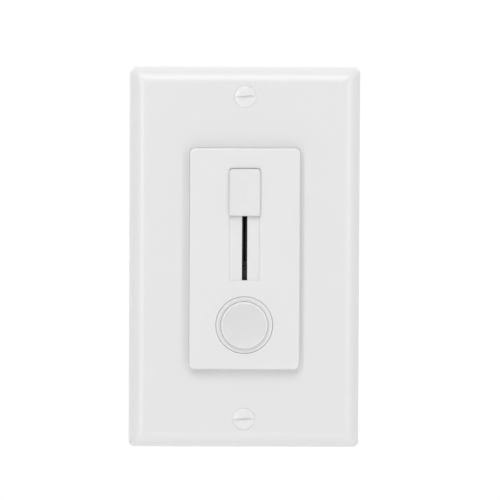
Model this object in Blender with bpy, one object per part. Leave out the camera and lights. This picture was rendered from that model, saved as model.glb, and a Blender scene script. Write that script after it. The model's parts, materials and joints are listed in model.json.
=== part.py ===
"""Slide dimmer switch for a single-gang wall box, with its wall plate.

Sizes are in millimetres and are scaled to metres as each mesh is made. X runs right, Z runs up, and Y runs
into the wall: the wall's surface is y = 0, the switch's face looks along -Y. Depths below are y values.
"""

from math import atan2, cos, pi, radians, sin, tan

import bmesh
import bpy
from mathutils import Matrix, Vector

MM = 0.001
GAP = 0.3  # between pieces that rest on each other
CUT = 1.0  # how far a cutter runs past the wall that it goes through
SMOOTH_ANGLE = radians(35)
ROUND_STEPS = 16
CORNER_STEPS = 2
SMALL_STEPS = 12

# Depths of the layers, front to back
CAP_FRONT = -9.9
BUTTON_RIM = -10.1
COVER_FRONT = -8.8
PLATE_FRONT = -5.8
STRAP_FRONT = -1.6
STRAP_BACK = -0.3
WALL = 0.0
BOARD_FRONT = 11.0
BOARD_BACK = 12.6
HOUSING_BACK = 28.0

# Wall plate
PLATE_WIDTH = 69.0
PLATE_HEIGHT = 114.3
PLATE_CORNER = 1.8
PLATE_RIM_DEPTH = 1.5  # straight side before the curved edge
PLATE_EDGE_INSET = 5.2  # from the outline to the flat face
PLATE_INSIDE = -3.9
PLATE_WALL = 1.9
PLATE_SCREW_SPACING = 96.84
OPENING_WIDTH = 33.4
OPENING_HEIGHT = 66.9
COLLAR_WALL = 1.2

# Front cover
COVER_WIDTH = 33.0
COVER_HEIGHT = 66.3
COVER_CORNER = 1.5
COVER_FILLET = 0.7
COVER_BACK = STRAP_FRONT - GAP
COVER_INSIDE = -7.1
COVER_WALL = 1.5
TRACK_WIDTH = 9.1
TRACK_DEPTH = 0.35
TRACK_TOP = 27.2
TRACK_BOTTOM = -6.4
SLOT_WIDTH = 1.55
SLOT_TOP = 24.4
SLOT_BOTTOM = -7.15
SNAP_X = 9.0
SNAP_Z = 32.35
SNAP_WIDTH = 5.0
SNAP_THICKNESS = 1.2
SNAP_HOOK = 0.9

# Slider
SLIDER_REST = 20.0  # height of the cap's middle at full brightness
SLIDER_TRAVEL = 18.9
CAP_WIDTH = 9.3
CAP_HEIGHT = 14.1
CAP_FILLET = 0.3
KEEL_THICKNESS = 1.0
KEEL_HEIGHT = 8.0
KEEL_END = -3.2
LEVER_FRONT = -6.6
LEVER_THICKNESS = 0.8
LEVER_WIDTH = 4.0
TRAVEL_MIDDLE = SLIDER_REST - SLIDER_TRAVEL / 2

# Push button
BUTTON_HEIGHT = -19.85
BUTTON_HOLE_RADIUS = 8.65
FLANGE_RADIUS = 8.45
DOME_RADIUS = 7.05
DOME_FILLET = 0.35
DISH_RADIUS = 6.65
DISH_DEPTH = 0.75
COLLAR_RADIUS = 9.5
BUTTON_ROOF = -8.5
STEM_RADIUS = 2.0
PLUNGER_FRONT = -7.9
SPRING_RADIUS = 4.0
SPRING_WIRE = 0.25
SPRING_TURNS = 5.5

# Strap and fasteners
STRAP_WIDTH = 44.0
STRAP_HEIGHT = 70.0
STRAP_LENGTH = 106.0
NECK_WIDTH = 20.0
EAR_WIDTH = 27.0
EAR_START = 46.3
BOX_SCREW_SPACING = 83.3
THREAD_RADIUS = 1.65
THREAD_HOLE = THREAD_RADIUS + 0.2
RIVET_X = 12.2
RIVET_Z = 24.8
RIVET_RADIUS = 1.35
CORNERS = [(x, z) for x in (-RIVET_X, RIVET_X) for z in (-RIVET_Z, RIVET_Z)]
TAB_MIDDLE = (-16.1, 4.6)  # the ground screw, across and deep
TAB_THICKNESS = 1.3

# Rear housing
HOUSING_WIDTH = 38.0
HOUSING_HEIGHT = 62.0
HOUSING_WALL = 1.6
HOUSING_ROUND = 0.8  # rounding of the back edge
TERMINAL_DEPTH = 19.0
TERMINALS = ((1, 12.0), (1, -12.0), (-1, -12.0))  # side, height
BRACKET_THICKNESS = 0.8
CLAMP_THICKNESS = 1.0
WIRE_ROOM = 0.5  # between a bracket and its clamp
BRACKET_HALF = 5.5  # from the screw to the bracket's front and back edges

# Slide potentiometer
POT_WIDTH = 9.0
POT_LENGTH = 36.0
POT_FRONT = 0.4
POT_BACK = 6.6
POT_SHEET = 0.6

# Push switch
SWITCH_SIZE = 14.0
SWITCH_FRONT = 0.4
SWITCH_BACK = 10.6
LATCH_PIVOT_DEPTH = 9.6
LATCH_TIP_DEPTH = 5.1
LATCH_WIRE = 0.35
CONTACT_X = 4.3
CONTACT_Z = -2.8  # below the button's middle

# Places (across, up) on the strap and the board
TRIAC_HOLE = (-11.5, 16.0)
TRIAC_LEG_SPACING = 2.54
CHOKE_PLACE = (-6.4, 11.0)
LARGE_CAPACITOR_PLACE = (9.4, 10.6)
SMALL_CAPACITOR_PLACE = (-13.0, -9.6)
CAN_CAPACITOR_PLACE = (-6.2, -8.5)
RESISTOR_PLACES = ((0.6, -9.0), (4.2, -9.0))
POWER_RESISTOR_PLACE = (4.6, -22.0)
DIAC_PLACE = (-1.2, -22.0)
TRIMMER_PLACE = (11.0, -12.4)
LEG = 0.35  # half the width of a component's leg


# Materials

def material(name, colour, roughness, metallic=0.0):
    made = bpy.data.materials.new(name)
    made.use_nodes = True
    shader = made.node_tree.nodes["Principled BSDF"]
    shader.inputs["Base Color"].default_value = (*colour, 1.0)
    shader.inputs["Roughness"].default_value = roughness
    shader.inputs["Metallic"].default_value = metallic
    made.diffuse_color = (*colour, 1.0)
    return made


def all_materials():
    return {
        "white_plastic": material("white_plastic", (0.80, 0.80, 0.80), 0.35),
        "cap_plastic": material("cap_plastic", (0.79, 0.79, 0.79), 0.4),
        "white_paint": material("white_paint", (0.80, 0.80, 0.79), 0.3, 0.2),
        "housing_plastic": material("housing_plastic", (0.06, 0.06, 0.07), 0.55),
        "black_plastic": material("black_plastic", (0.03, 0.03, 0.03), 0.5),
        "seal_rubber": material("seal_rubber", (0.03, 0.03, 0.03), 0.85),
        "strap_aluminium": material("strap_aluminium", (0.77, 0.78, 0.79), 0.35, 1.0),
        "zinc_steel": material("zinc_steel", (0.70, 0.71, 0.72), 0.3, 1.0),
        "spring_steel": material("spring_steel", (0.55, 0.56, 0.58), 0.25, 1.0),
        "brass": material("brass", (0.78, 0.60, 0.28), 0.3, 1.0),
        "green_screw": material("green_screw", (0.05, 0.33, 0.12), 0.35, 0.4),
        "fibre": material("fibre", (0.46, 0.33, 0.20), 0.9),
        "circuit_green": material("circuit_green", (0.03, 0.22, 0.09), 0.45),
        "phenolic": material("phenolic", (0.25, 0.14, 0.06), 0.5),
        "acetal": material("acetal", (0.86, 0.85, 0.80), 0.5),
        "ferrite": material("ferrite", (0.55, 0.50, 0.12), 0.6),
        "enamel_copper": material("enamel_copper", (0.62, 0.25, 0.10), 0.3, 0.8),
        "film_yellow": material("film_yellow", (0.80, 0.55, 0.08), 0.45),
        "resistor_tan": material("resistor_tan", (0.62, 0.50, 0.35), 0.6),
        "mica": material("mica", (0.70, 0.68, 0.60), 0.3),
        "trimmer_blue": material("trimmer_blue", (0.05, 0.15, 0.45), 0.45),
    }


# Outlines, as lists of (across, up) points

def rounded_outline(corners, steps=CORNER_STEPS):
    """The polygon through corners (across, up, radius), with each corner drawn as an arc."""
    outline = []
    for index, (across, up, radius) in enumerate(corners):
        here = Vector((across, up))
        to_last = (Vector(corners[index - 1][:2]) - here).normalized()
        to_next = (Vector(corners[(index + 1) % len(corners)][:2]) - here).normalized()
        half_angle = to_last.angle(to_next) / 2
        centre = here + (to_last + to_next).normalized() * (radius / sin(half_angle))
        reach = radius / tan(half_angle)
        first = here + to_last * reach - centre
        last = here + to_next * reach - centre
        start = atan2(first.y, first.x)
        sweep = (atan2(last.y, last.x) - start + pi) % (2 * pi) - pi
        for step in range(steps + 1):
            angle = start + sweep * step / steps
            outline.append((centre.x + radius * cos(angle), centre.y + radius * sin(angle)))
    return outline


def rectangle(width, height, radius=0.0, centre=(0.0, 0.0), steps=CORNER_STEPS):
    """A rectangle's outline, with rounded corners where a radius is given."""
    across, up = centre
    sides = ((-1, -1), (1, -1), (1, 1), (-1, 1))
    corners = [(across + a * width / 2, up + u * height / 2, radius) for a, u in sides]
    return rounded_outline(corners, steps) if radius else [corner[:2] for corner in corners]


def circle(radius, centre=(0.0, 0.0), steps=ROUND_STEPS):
    turns = [2 * pi * step / steps for step in range(steps)]
    return [(centre[0] + radius * cos(turn), centre[1] + radius * sin(turn)) for turn in turns]


def arc(centre, radius, start, end, steps):
    """Points (across, up) along an arc, from start to end in degrees."""
    turns = [radians(start + (end - start) * step / steps) for step in range(steps + 1)]
    return [(centre[0] + radius * cos(turn), centre[1] + radius * sin(turn)) for turn in turns]


# Solids

def new_object(name, shape, finish, smooth=True):
    """An object from a bmesh in millimetres, with its normals out."""
    bmesh.ops.recalc_face_normals(shape, faces=shape.faces)
    bmesh.ops.scale(shape, vec=(MM, MM, MM), verts=shape.verts)
    mesh = bpy.data.meshes.new(name)
    shape.to_mesh(mesh)
    shape.free()
    if smooth:
        mesh.shade_smooth()
        mesh.set_sharp_from_angle(angle=SMOOTH_ANGLE)
    if finish:
        mesh.materials.append(FINISH[finish])
    obj = bpy.data.objects.new(name, mesh)
    bpy.context.scene.collection.objects.link(obj)
    return obj


def at_depth(outline, along, distance):
    """An outline's points in space, with the third coordinate on the axis that it is extruded along."""
    if along == "X":
        return [(distance, across, up) for across, up in outline]
    if along == "Y":
        return [(across, distance, up) for across, up in outline]
    return [(across, up, distance) for across, up in outline]


def loft(name, rings, finish=None):
    """A closed solid through rings that have the same number of points."""
    shape = bmesh.new()
    loops = [[shape.verts.new(point) for point in ring] for ring in rings]
    for near, far in zip(loops, loops[1:]):
        for index in range(len(near)):
            shape.faces.new((near[index - 1], near[index], far[index], far[index - 1]))
    shape.faces.new(loops[0])
    shape.faces.new(loops[-1])
    return new_object(name, shape, finish)


def prism(name, outline, along, start, end, finish=None):
    return loft(name, [at_depth(outline, along, start), at_depth(outline, along, end)], finish)


def block(name, x, y, z, finish=None, radius=0.0, along="Y"):
    """A box between three (low, high) pairs, its edges along one axis rounded."""
    spans = {"X": (y, z, x), "Y": (x, z, y), "Z": (x, y, z)}[along]
    across, up, length = spans
    centre = ((across[0] + across[1]) / 2, (up[0] + up[1]) / 2)
    outline = rectangle(across[1] - across[0], up[1] - up[0], radius, centre)
    return prism(name, outline, along, length[0], length[1], finish)


def turned(name, profile, finish=None, steps=ROUND_STEPS, along="Y"):
    """A solid of revolution. The profile's (radius, distance) points run from axis to axis."""
    shape = bmesh.new()
    loops = []
    for radius, distance in profile:
        points = at_depth(circle(radius, steps=steps) if radius else [(0, 0)], along, distance)
        loops.append([shape.verts.new(point) for point in points])
    for near, far in zip(loops, loops[1:]):
        for index in range(steps):
            corners = {near[index - 1 if len(near) > 1 else 0]: 0, near[index % len(near)]: 0}
            corners |= {far[index % len(far)]: 0, far[index - 1 if len(far) > 1 else 0]: 0}
            shape.faces.new(list(corners))
    return new_object(name, shape, finish)


def ring(name, inner, outer, depth, finish=None, steps=ROUND_STEPS, along="Y"):
    """A washer or sleeve, with depth as its (low, high) pair."""
    solid = turned(name, [(0, depth[0]), (outer, depth[0]), (outer, depth[1]), (0, depth[1])],
                   finish, steps, along)
    hole = prism("hole", circle(inner, steps=steps), along, depth[0] - CUT, depth[1] + CUT)
    return carve(solid, hole)


def wire(name, points, radius, finish=None, bevel_resolution=1):
    """A round wire through the points, with capped ends."""
    line = bpy.data.curves.new(name, "CURVE")
    line.dimensions = "3D"
    line.bevel_depth = radius * MM
    line.bevel_resolution = bevel_resolution
    line.use_fill_caps = True
    spline = line.splines.new("POLY")
    spline.points.add(len(points) - 1)
    for node, point in zip(spline.points, points):
        node.co = (*(Vector(point) * MM), 1.0)
    path = bpy.data.objects.new(name + "_path", line)
    bpy.context.scene.collection.objects.link(path)
    shape = bmesh.new()
    shape.from_mesh(path.to_mesh())
    path.to_mesh_clear()
    bpy.data.objects.remove(path)
    bmesh.ops.remove_doubles(shape, verts=shape.verts, dist=0.001 * MM)
    bmesh.ops.scale(shape, vec=(1 / MM, 1 / MM, 1 / MM), verts=shape.verts)
    return new_object(name, shape, finish)


def combine(target, tools, operation):
    """Applies a Boolean with each tool in turn, and removes the tools."""
    for tool in tools:
        modifier = target.modifiers.new(operation, "BOOLEAN")
        modifier.operation = operation
        modifier.object = tool
    finished = target.evaluated_get(bpy.context.evaluated_depsgraph_get())
    mesh = bpy.data.meshes.new_from_object(finished)
    mesh.name = target.name
    target.modifiers.clear()
    target.data = mesh
    for tool in tools:
        bpy.data.objects.remove(tool)
    return target


def carve(target, *tools):
    return combine(target, tools, "DIFFERENCE")


def fuse(target, *tools):
    return combine(target, tools, "UNION")


def place(obj, parent=None, location=(0, 0, 0), rotation=(0, 0, 0)):
    obj.parent = parent
    obj.location = Vector(location) * MM
    obj.rotation_euler = rotation
    return obj


def marker(name, location=(0, 0, 0), parent=None):
    """An empty, which groups pieces and marks a joint's axis."""
    empty = bpy.data.objects.new(name, None)
    empty.empty_display_size = 5 * MM
    bpy.context.scene.collection.objects.link(empty)
    return place(empty, parent, location)


# Front pieces

def plate_edge(steps=5):
    """The wall plate's (inset, depth) edge: a straight side, then a quarter ellipse to the flat face."""
    rise = -PLATE_FRONT - PLATE_RIM_DEPTH
    profile = [(0.0, WALL)]
    for step in range(steps + 1):
        turn = pi / 2 * step / steps
        profile.append((PLATE_EDGE_INSET * (1 - cos(turn)), -PLATE_RIM_DEPTH - rise * sin(turn)))
    return profile


def inset_rectangle(width, height, inset, radius, steps=CORNER_STEPS):
    return rectangle(width - 2 * inset, height - 2 * inset, radius, steps=steps)


def plate_ring(inset, depth, radius):
    return at_depth(inset_rectangle(PLATE_WIDTH, PLATE_HEIGHT, inset, radius), "Y", depth)


def make_wall_plate(body):
    """A shell with a curved edge, a collar round its opening and two countersunk holes with bosses behind."""
    rings = [plate_ring(inset, depth, PLATE_CORNER - 0.15 * inset) for inset, depth in plate_edge()]
    plate = loft("wall_plate", rings, "white_plastic")
    inner_corner = 1.2
    inner_edge = 3.2
    carve(plate, loft("cavity", [plate_ring(PLATE_WALL, WALL + CUT, inner_corner),
                                 plate_ring(PLATE_WALL, WALL - 1.2, inner_corner),
                                 plate_ring(inner_edge, PLATE_INSIDE, inner_corner)]))
    rooted = PLATE_INSIDE - 0.5
    reach_x, reach_z = OPENING_WIDTH / 2 + COLLAR_WALL, OPENING_HEIGHT / 2 + COLLAR_WALL
    collar = block("collar", (-reach_x, reach_x), (rooted, COVER_BACK), (-reach_z, reach_z), radius=1.5)
    screws = [(0, side * PLATE_SCREW_SPACING / 2) for side in (-1, 1)]
    bosses = [prism("boss", circle(3.0, screw), "Y", rooted, -2.2) for screw in screws]
    fuse(plate, collar, *bosses)
    outline = rectangle(OPENING_WIDTH, OPENING_HEIGHT, 1.3)
    opening = prism("opening", outline, "Y", PLATE_FRONT - CUT, WALL + CUT)
    sink_profile = [(0, PLATE_FRONT - 0.5), (3.9, PLATE_FRONT - 0.5), (3.45, PLATE_FRONT), (1.95, -4.2),
                    (1.95, WALL + CUT), (0, WALL + CUT)]
    sinks = [place(turned("countersink", sink_profile), location=(x, 0, z)) for x, z in screws]
    return place(carve(plate, opening, *sinks), body)


def snap_leg(side, x):
    """A hooked leg that goes through the strap and catches behind it."""
    inner, outer = SNAP_Z - SNAP_THICKNESS / 2, SNAP_Z + SNAP_THICKNESS / 2
    catch, root, end = STRAP_BACK + GAP, -4.0, 2.2
    outline = [(root, inner), (end, inner), (end, outer), (end - 0.8, outer + SNAP_HOOK),
               (catch, outer + SNAP_HOOK), (catch, outer), (root, outer)]
    outline = [(depth, side * up) for depth, up in outline]
    return prism("snap_leg", outline, "X", x - SNAP_WIDTH / 2, x + SNAP_WIDTH / 2)


def make_front_cover(body):
    rings = [at_depth(rectangle(COVER_WIDTH, COVER_HEIGHT, COVER_CORNER), "Y", COVER_BACK)]
    for inset, rise in arc((COVER_FILLET, 0), COVER_FILLET, 180, 90, 3):
        outline = inset_rectangle(COVER_WIDTH, COVER_HEIGHT, inset, COVER_CORNER - inset / 2)
        rings.append(at_depth(outline, "Y", COVER_FRONT + COVER_FILLET - rise))
    cover = loft("front_cover", rings, "white_plastic")
    inside = inset_rectangle(COVER_WIDTH, COVER_HEIGHT, COVER_WALL, 0.8)
    carve(cover, prism("inside", inside, "Y", COVER_BACK + CUT, COVER_INSIDE))
    fuse(cover, *[snap_leg(side, x) for side in (-1, 1) for x in (-SNAP_X, SNAP_X)])
    ahead, behind = COVER_FRONT - CUT, COVER_INSIDE + CUT
    track = block("track", (-TRACK_WIDTH / 2, TRACK_WIDTH / 2), (ahead, COVER_FRONT + TRACK_DEPTH),
                  (TRACK_BOTTOM, TRACK_TOP), radius=0.4)
    slot = block("slot", (-SLOT_WIDTH / 2, SLOT_WIDTH / 2), (ahead, behind), (SLOT_BOTTOM, SLOT_TOP))
    hole = prism("hole", circle(BUTTON_HOLE_RADIUS, (0, BUTTON_HEIGHT), 32), "Y", ahead, behind)
    return place(carve(cover, track, slot, hole), body)


def cap_outline(inset=0.0):
    """The slider cap's outline: well-rounded upper corners and nearly square lower ones."""
    half_width, half_height = CAP_WIDTH / 2 - inset, CAP_HEIGHT / 2 - inset
    return rounded_outline([(-half_width, -half_height, 0.35), (half_width, -half_height, 0.35),
                            (half_width, half_height, 1.2), (-half_width, half_height, 1.2)])


def make_slider_cap(slider):
    """The cap rides just clear of the cover. Its keel goes through the slot and forks round the lever."""
    rings = [at_depth(cap_outline(), "Y", COVER_FRONT - GAP)]
    for inset, rise in arc((CAP_FILLET, 0), CAP_FILLET, 180, 90, 2):
        rings.append(at_depth(cap_outline(inset), "Y", CAP_FRONT + CAP_FILLET - rise))
    cap = loft("slider_cap", rings, "cap_plastic")
    half_keel, half_height, half_fork = KEEL_THICKNESS / 2, KEEL_HEIGHT / 2, LEVER_WIDTH / 2 + 0.2
    keel = block("keel", (-half_keel, half_keel), (COVER_FRONT - 2 * GAP, KEEL_END),
                 (-half_height, half_height))
    fork = block("fork", (-CUT, CUT), (LEVER_FRONT - 0.4, KEEL_END + CUT), (-half_fork, half_fork))
    return place(fuse(cap, carve(keel, fork)), slider)


def make_button_cap(button):
    """Dished dome, flange flush with the cover, collar that holds it in, and a socket for the plunger."""
    flange, steps = COVER_FRONT + 0.05, 3
    shares = [step / steps for step in range(steps + 1)]
    dish = [(DISH_RADIUS * share, BUTTON_RIM + DISH_DEPTH * (1 - share ** 2)) for share in shares]
    rim = arc((DOME_RADIUS - DOME_FILLET, BUTTON_RIM + DOME_FILLET), DOME_FILLET, -90, 0, 2)
    flange_edge = arc((FLANGE_RADIUS - 0.3, flange + 0.3), 0.3, -90, 0, 1)
    collar_front, collar_back = COVER_INSIDE + GAP, COVER_INSIDE + GAP + 0.8
    collar = [(FLANGE_RADIUS, collar_front), (COLLAR_RADIUS, collar_front), (COLLAR_RADIUS, collar_back)]
    skirt = [(7.2, collar_back), (7.2, -7.5), (6.0, -7.7), (6.0, BUTTON_ROOF)]
    socket_radius, socket_end = STEM_RADIUS + 0.25, -5.0
    socket = [(3.2, BUTTON_ROOF), (3.2, socket_end), (socket_radius, socket_end),
              (socket_radius, PLUNGER_FRONT - GAP), (0, PLUNGER_FRONT - GAP)]
    profile = dish + rim + [(DOME_RADIUS, flange)] + flange_edge + collar + skirt + socket
    return place(turned("button_cap", profile, "white_plastic", 24), button)


def make_dust_seal(body):
    """Soft black lips behind the slot, which part around the slider's keel."""
    front = COVER_INSIDE + GAP
    seal = block("dust_seal", (-5.0, 5.0), (front, front + 0.5), (-9.4, 27.6), "seal_rubber", radius=1.0)
    half_slit = KEEL_THICKNESS / 2 + 0.2
    reach = (SLIDER_TRAVEL + KEEL_HEIGHT) / 2 + 0.4
    slit = block("slit", (-half_slit, half_slit), (front - CUT, front + 2 * CUT),
                 (TRAVEL_MIDDLE - reach, TRAVEL_MIDDLE + reach))
    return place(carve(seal, slit), body)


# Screws and rivets, drawn with the head's seat at y = 0 and the shank along +Y

def screw_slot(head_radius, head_top, width, depth):
    half, reach = width / 2, head_radius + CUT
    return block("screw_slot", (-reach, reach), (head_top - CUT, head_top + depth), (-half, half))


def make_plate_screw(name, body, side):
    """An oval-head countersunk 6-32 screw, its slot a few degrees off level."""
    head, rise, edge, cone, length = 3.25, 0.85, 0.1, 1.6, 12.7
    shares = (0, 1 / 3, 2 / 3)
    profile = [(head * share, -rise + (rise - edge) * share ** 2) for share in shares]
    profile += [(head, -edge), (head, 0), (THREAD_RADIUS, cone), (THREAD_RADIUS, length - 0.8)]
    profile += [(THREAD_RADIUS - 0.5, length), (0, length)]
    screw = carve(turned(name, profile, "white_paint"), screw_slot(head, -rise, 0.95, 1.0))
    return place(screw, body, (0, PLATE_FRONT, side * PLATE_SCREW_SPACING / 2), (0, radians(-3), 0))


def make_pan_screw(name, finish, head_radius, head_height, thread_radius, length):
    """A pan-head screw with a combination slot and cross recess."""
    edge = 0.5
    profile = [(0, -head_height), (head_radius - 1.2, -head_height), (head_radius - 0.3, -head_height + edge),
               (head_radius, -head_height + 2 * edge), (head_radius, 0), (thread_radius, 0),
               (thread_radius, length - 0.7), (thread_radius - 0.5, length), (0, length)]
    screw = turned(name, profile, finish)
    cross = block("cross", (-0.45, 0.45), (-head_height - CUT, -head_height + 1.1), (-1.8, 1.8))
    return carve(screw, screw_slot(head_radius, -head_height, 0.9, 0.9), cross)


def make_box_screws(body):
    """The screws that fix the strap to the wall box, and the fibre squares that keep them in it."""
    for name, side in (("top", 1), ("bottom", -1)):
        height = side * BOX_SCREW_SPACING / 2
        screw = make_pan_screw("box_screw_" + name, "zinc_steel", 3.3, 1.8, THREAD_RADIUS, 25.4)
        place(screw, body, (0, STRAP_FRONT - GAP, height), (0, radians(20 * side), 0))
        retainer = block("screw_retainer_" + name, (-4, 4), (0.0, 0.8), (-4, 4), "fibre", radius=0.8)
        carve(retainer, prism("hole", circle(THREAD_HOLE), "Y", -CUT, 0.8 + CUT))
        place(retainer, body, (0, 0, height))


def make_rivet(name, front, back, shank_radius, head_radius):
    """A rivet between two depths, with a low domed head outside each."""
    rise = 0.8
    profile = [(0, front - rise), (head_radius * 0.7, front - rise * 0.75), (head_radius, front),
               (shank_radius, front), (shank_radius, back), (head_radius, back),
               (head_radius * 0.7, back + rise * 0.75), (0, back + rise)]
    return turned(name, profile, "zinc_steel", SMALL_STEPS)


# Strap and housing

def strap_outline():
    """Broad heat-sink plate, a neck at each end, and the ears that rest on the wall."""
    half_width, half_height = STRAP_WIDTH / 2, STRAP_HEIGHT / 2
    neck, ear, end = NECK_WIDTH / 2, EAR_WIDTH / 2, STRAP_LENGTH / 2
    right = [(half_width, half_height, 2.0), (neck, half_height, 1.5), (neck, EAR_START, 0.8),
             (ear, EAR_START, 1.5), (ear, end, 2.5)]
    top = right + [(-x, z, radius) for x, z, radius in reversed(right)]
    return rounded_outline(top + [(-x, -z, radius) for x, z, radius in top])


def make_ground_tab():
    """A tongue bent back from the strap's lower edge, tapped for the ground screw."""
    low, half_width, end = -STRAP_HEIGHT / 2, 3.9, 9.0
    tab = block("ground_tab", (TAB_MIDDLE[0] - half_width, TAB_MIDDLE[0] + half_width), (STRAP_FRONT, end),
                (low, low + TAB_THICKNESS), radius=1.0, along="Z")
    outline = circle(THREAD_HOLE, TAB_MIDDLE, SMALL_STEPS)
    return carve(tab, prism("hole", outline, "Z", low - CUT, low + TAB_THICKNESS + CUT))


def strap_cutters():
    """Screw holes, snap slots, rivet holes, and the openings for the lever and the plunger."""
    outlines = [circle(1.7, corner, SMALL_STEPS) for corner in CORNERS]
    outlines.append(circle(1.8, TRIAC_HOLE, SMALL_STEPS))
    outlines.append(circle(STEM_RADIUS + 0.6, (0, BUTTON_HEIGHT)))
    outlines.append(rectangle(3.6, SLIDER_TRAVEL + LEVER_WIDTH + 5.0, 0.8, (0, TRAVEL_MIDDLE)))
    for side in (-1, 1):
        outlines.append(circle(THREAD_HOLE, (0, side * PLATE_SCREW_SPACING / 2)))
        outlines.append(rectangle(6.0, 3.9, 1.9, (0, side * BOX_SCREW_SPACING / 2)))
        for x in (-SNAP_X, SNAP_X):
            outlines.append(rectangle(SNAP_WIDTH + 0.8, SNAP_THICKNESS + 0.7, centre=(x, side * SNAP_Z)))
    return [prism("cutter", outline, "Y", STRAP_FRONT - CUT, WALL + CUT) for outline in outlines]


def make_strap(body):
    strap = prism("mounting_strap", strap_outline(), "Y", STRAP_FRONT, STRAP_BACK, "strap_aluminium")
    end, margin = STRAP_LENGTH / 2, 0.3
    width, height, middle = EAR_WIDTH - 2 * margin, end - EAR_START - 2 * margin, (EAR_START + end) / 2
    pads = [prism("pad", rectangle(width, height, 1.5, (0, side * middle)), "Y", STRAP_FRONT + 0.6, WALL)
            for side in (-1, 1)]
    fuse(strap, make_ground_tab(), *pads)
    return place(carve(strap, *strap_cutters()), body)


def make_ground_screw(body):
    screw = make_pan_screw("ground_screw", "green_screw", 3.3, 1.9, 1.6, 3.4)
    return place(screw, body, (*TAB_MIDDLE, -STRAP_HEIGHT / 2 - GAP), (radians(90), 0, 0))


def side_span(side, near, far):
    """The (low, high) pair between two distances from the middle, on one side."""
    return tuple(sorted((side * near, side * far)))


def terminal_ribs(side, height):
    """Three walls that fence a side terminal and leave it open at the back, where the wire comes in."""
    reach, thickness, ahead = 6.8, 1.2, 8.5
    x = side_span(side, HOUSING_WIDTH / 2 - 0.4, HOUSING_WIDTH / 2 + 3.4)
    front = TERMINAL_DEPTH - ahead
    ribs = [block("rib", x, (front, front + thickness), (height - reach, height + reach))]
    for low in (height - reach, height + reach - thickness):
        ribs.append(block("rib", x, (front + 0.8, HOUSING_BACK - 1.0), (low, low + thickness)))
    return ribs


def make_rear_housing(body):
    """A tub with rivet posts in its corners, and fences round the side terminals."""
    outer = rectangle(HOUSING_WIDTH, HOUSING_HEIGHT, 2.2)
    back = inset_rectangle(HOUSING_WIDTH, HOUSING_HEIGHT, HOUSING_ROUND, 1.6)
    rings = [at_depth(outer, "Y", WALL), at_depth(outer, "Y", HOUSING_BACK - HOUSING_ROUND),
             at_depth(back, "Y", HOUSING_BACK)]
    housing = loft("rear_housing", rings, "housing_plastic")
    inside = inset_rectangle(HOUSING_WIDTH, HOUSING_HEIGHT, HOUSING_WALL, 1.2)
    carve(housing, prism("inside", inside, "Y", WALL - CUT, HOUSING_BACK - 1.8))
    posts = [prism("post", circle(2.6, corner, SMALL_STEPS), "Y", WALL + 0.2, HOUSING_BACK - 1.0)
             for corner in CORNERS]
    ribs = [rib for terminal in TERMINALS for rib in terminal_ribs(*terminal)]
    fuse(housing, *posts, *ribs)
    cutters = [prism("rivet_hole", circle(1.7, corner, SMALL_STEPS), "Y", WALL - CUT, HOUSING_BACK + CUT)
               for corner in CORNERS]
    for side, height in TERMINALS:
        x = side_span(side, HOUSING_WIDTH / 2 - 3.0, HOUSING_WIDTH / 2 + CUT)
        leg_front = TERMINAL_DEPTH - BRACKET_HALF
        cutters.append(block("leg_slit", x, (leg_front - 0.4, leg_front + 1.2), (height - 2.4, height + 2.4)))
        outline = circle(2.2, (TERMINAL_DEPTH, height), SMALL_STEPS)
        cutters.append(prism("screw_hole", outline, "X", *x))
    return place(carve(housing, *cutters), body)


def make_housing_rivets(body):
    for number, (x, z) in enumerate(CORNERS, 1):
        name = f"housing_rivet_{number}"
        rivet = make_rivet(name, STRAP_FRONT - GAP, HOUSING_BACK + GAP, RIVET_RADIUS, 2.3)
        place(rivet, body, (x, 0, z))


def mirrored(piece, side):
    """The same piece on the left where side is -1."""
    if side < 0:
        piece.data.transform(Matrix.Scale(-1, 4, (1, 0, 0)))
        piece.data.flip_normals()
    return piece


def make_terminals(body):
    """Three side terminals: a bracket through the housing wall, a clamping plate, and a brass screw."""
    face = HOUSING_WIDTH / 2 + GAP
    clamp_face = face + BRACKET_THICKNESS + WIRE_ROOM
    head_face = clamp_face + CLAMP_THICKNESS + GAP
    for number, (side, height) in enumerate(TERMINALS, 1):
        bracket = block(f"terminal_bracket_{number}", (face, face + BRACKET_THICKNESS),
                        (-BRACKET_HALF, BRACKET_HALF), (-4.6, 4.6), "brass", radius=0.8, along="X")
        leg = block("leg", (HOUSING_WIDTH / 2 - 3.0, face + 0.4),
                    (-BRACKET_HALF, -BRACKET_HALF + BRACKET_THICKNESS), (-2.0, 2.0))
        plate = block(f"terminal_plate_{number}", (clamp_face, clamp_face + CLAMP_THICKNESS),
                      (-4.0, 4.0), (-4.2, 4.2), "brass", radius=0.6, along="X")
        fuse(bracket, leg)
        for piece in (bracket, plate):
            hole = prism("hole", circle(1.9, steps=SMALL_STEPS), "X", face - CUT, clamp_face + 2 * CUT)
            place(mirrored(carve(piece, hole), side), body, (0, TERMINAL_DEPTH, height))
        screw = make_pan_screw(f"terminal_screw_{number}", "brass", 3.4, 1.9, 1.6, 4.1)
        place(screw, body, (side * head_face, TERMINAL_DEPTH, height), (0, 0, side * pi / 2))


# Slide potentiometer

def make_pot_case(body, low, high):
    half_width, half_slot = POT_WIDTH / 2, 0.9
    case = block("pot_case", (-half_width, half_width), (POT_FRONT, POT_BACK), (low, high), "zinc_steel",
                 radius=0.6)
    half_inside = half_width - POT_SHEET
    inside = block("inside", (-half_inside, half_inside), (POT_FRONT + POT_SHEET, POT_BACK + CUT),
                   (low + POT_SHEET, high - POT_SHEET))
    slot_length = SLIDER_TRAVEL + LEVER_WIDTH + 1.4
    slot = prism("slot", rectangle(2 * half_slot, slot_length, 0.8, (0, TRAVEL_MIDDLE)), "Y",
                 POT_FRONT - CUT, POT_FRONT + POT_SHEET + CUT)
    return place(carve(case, inside, slot), body)


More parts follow.
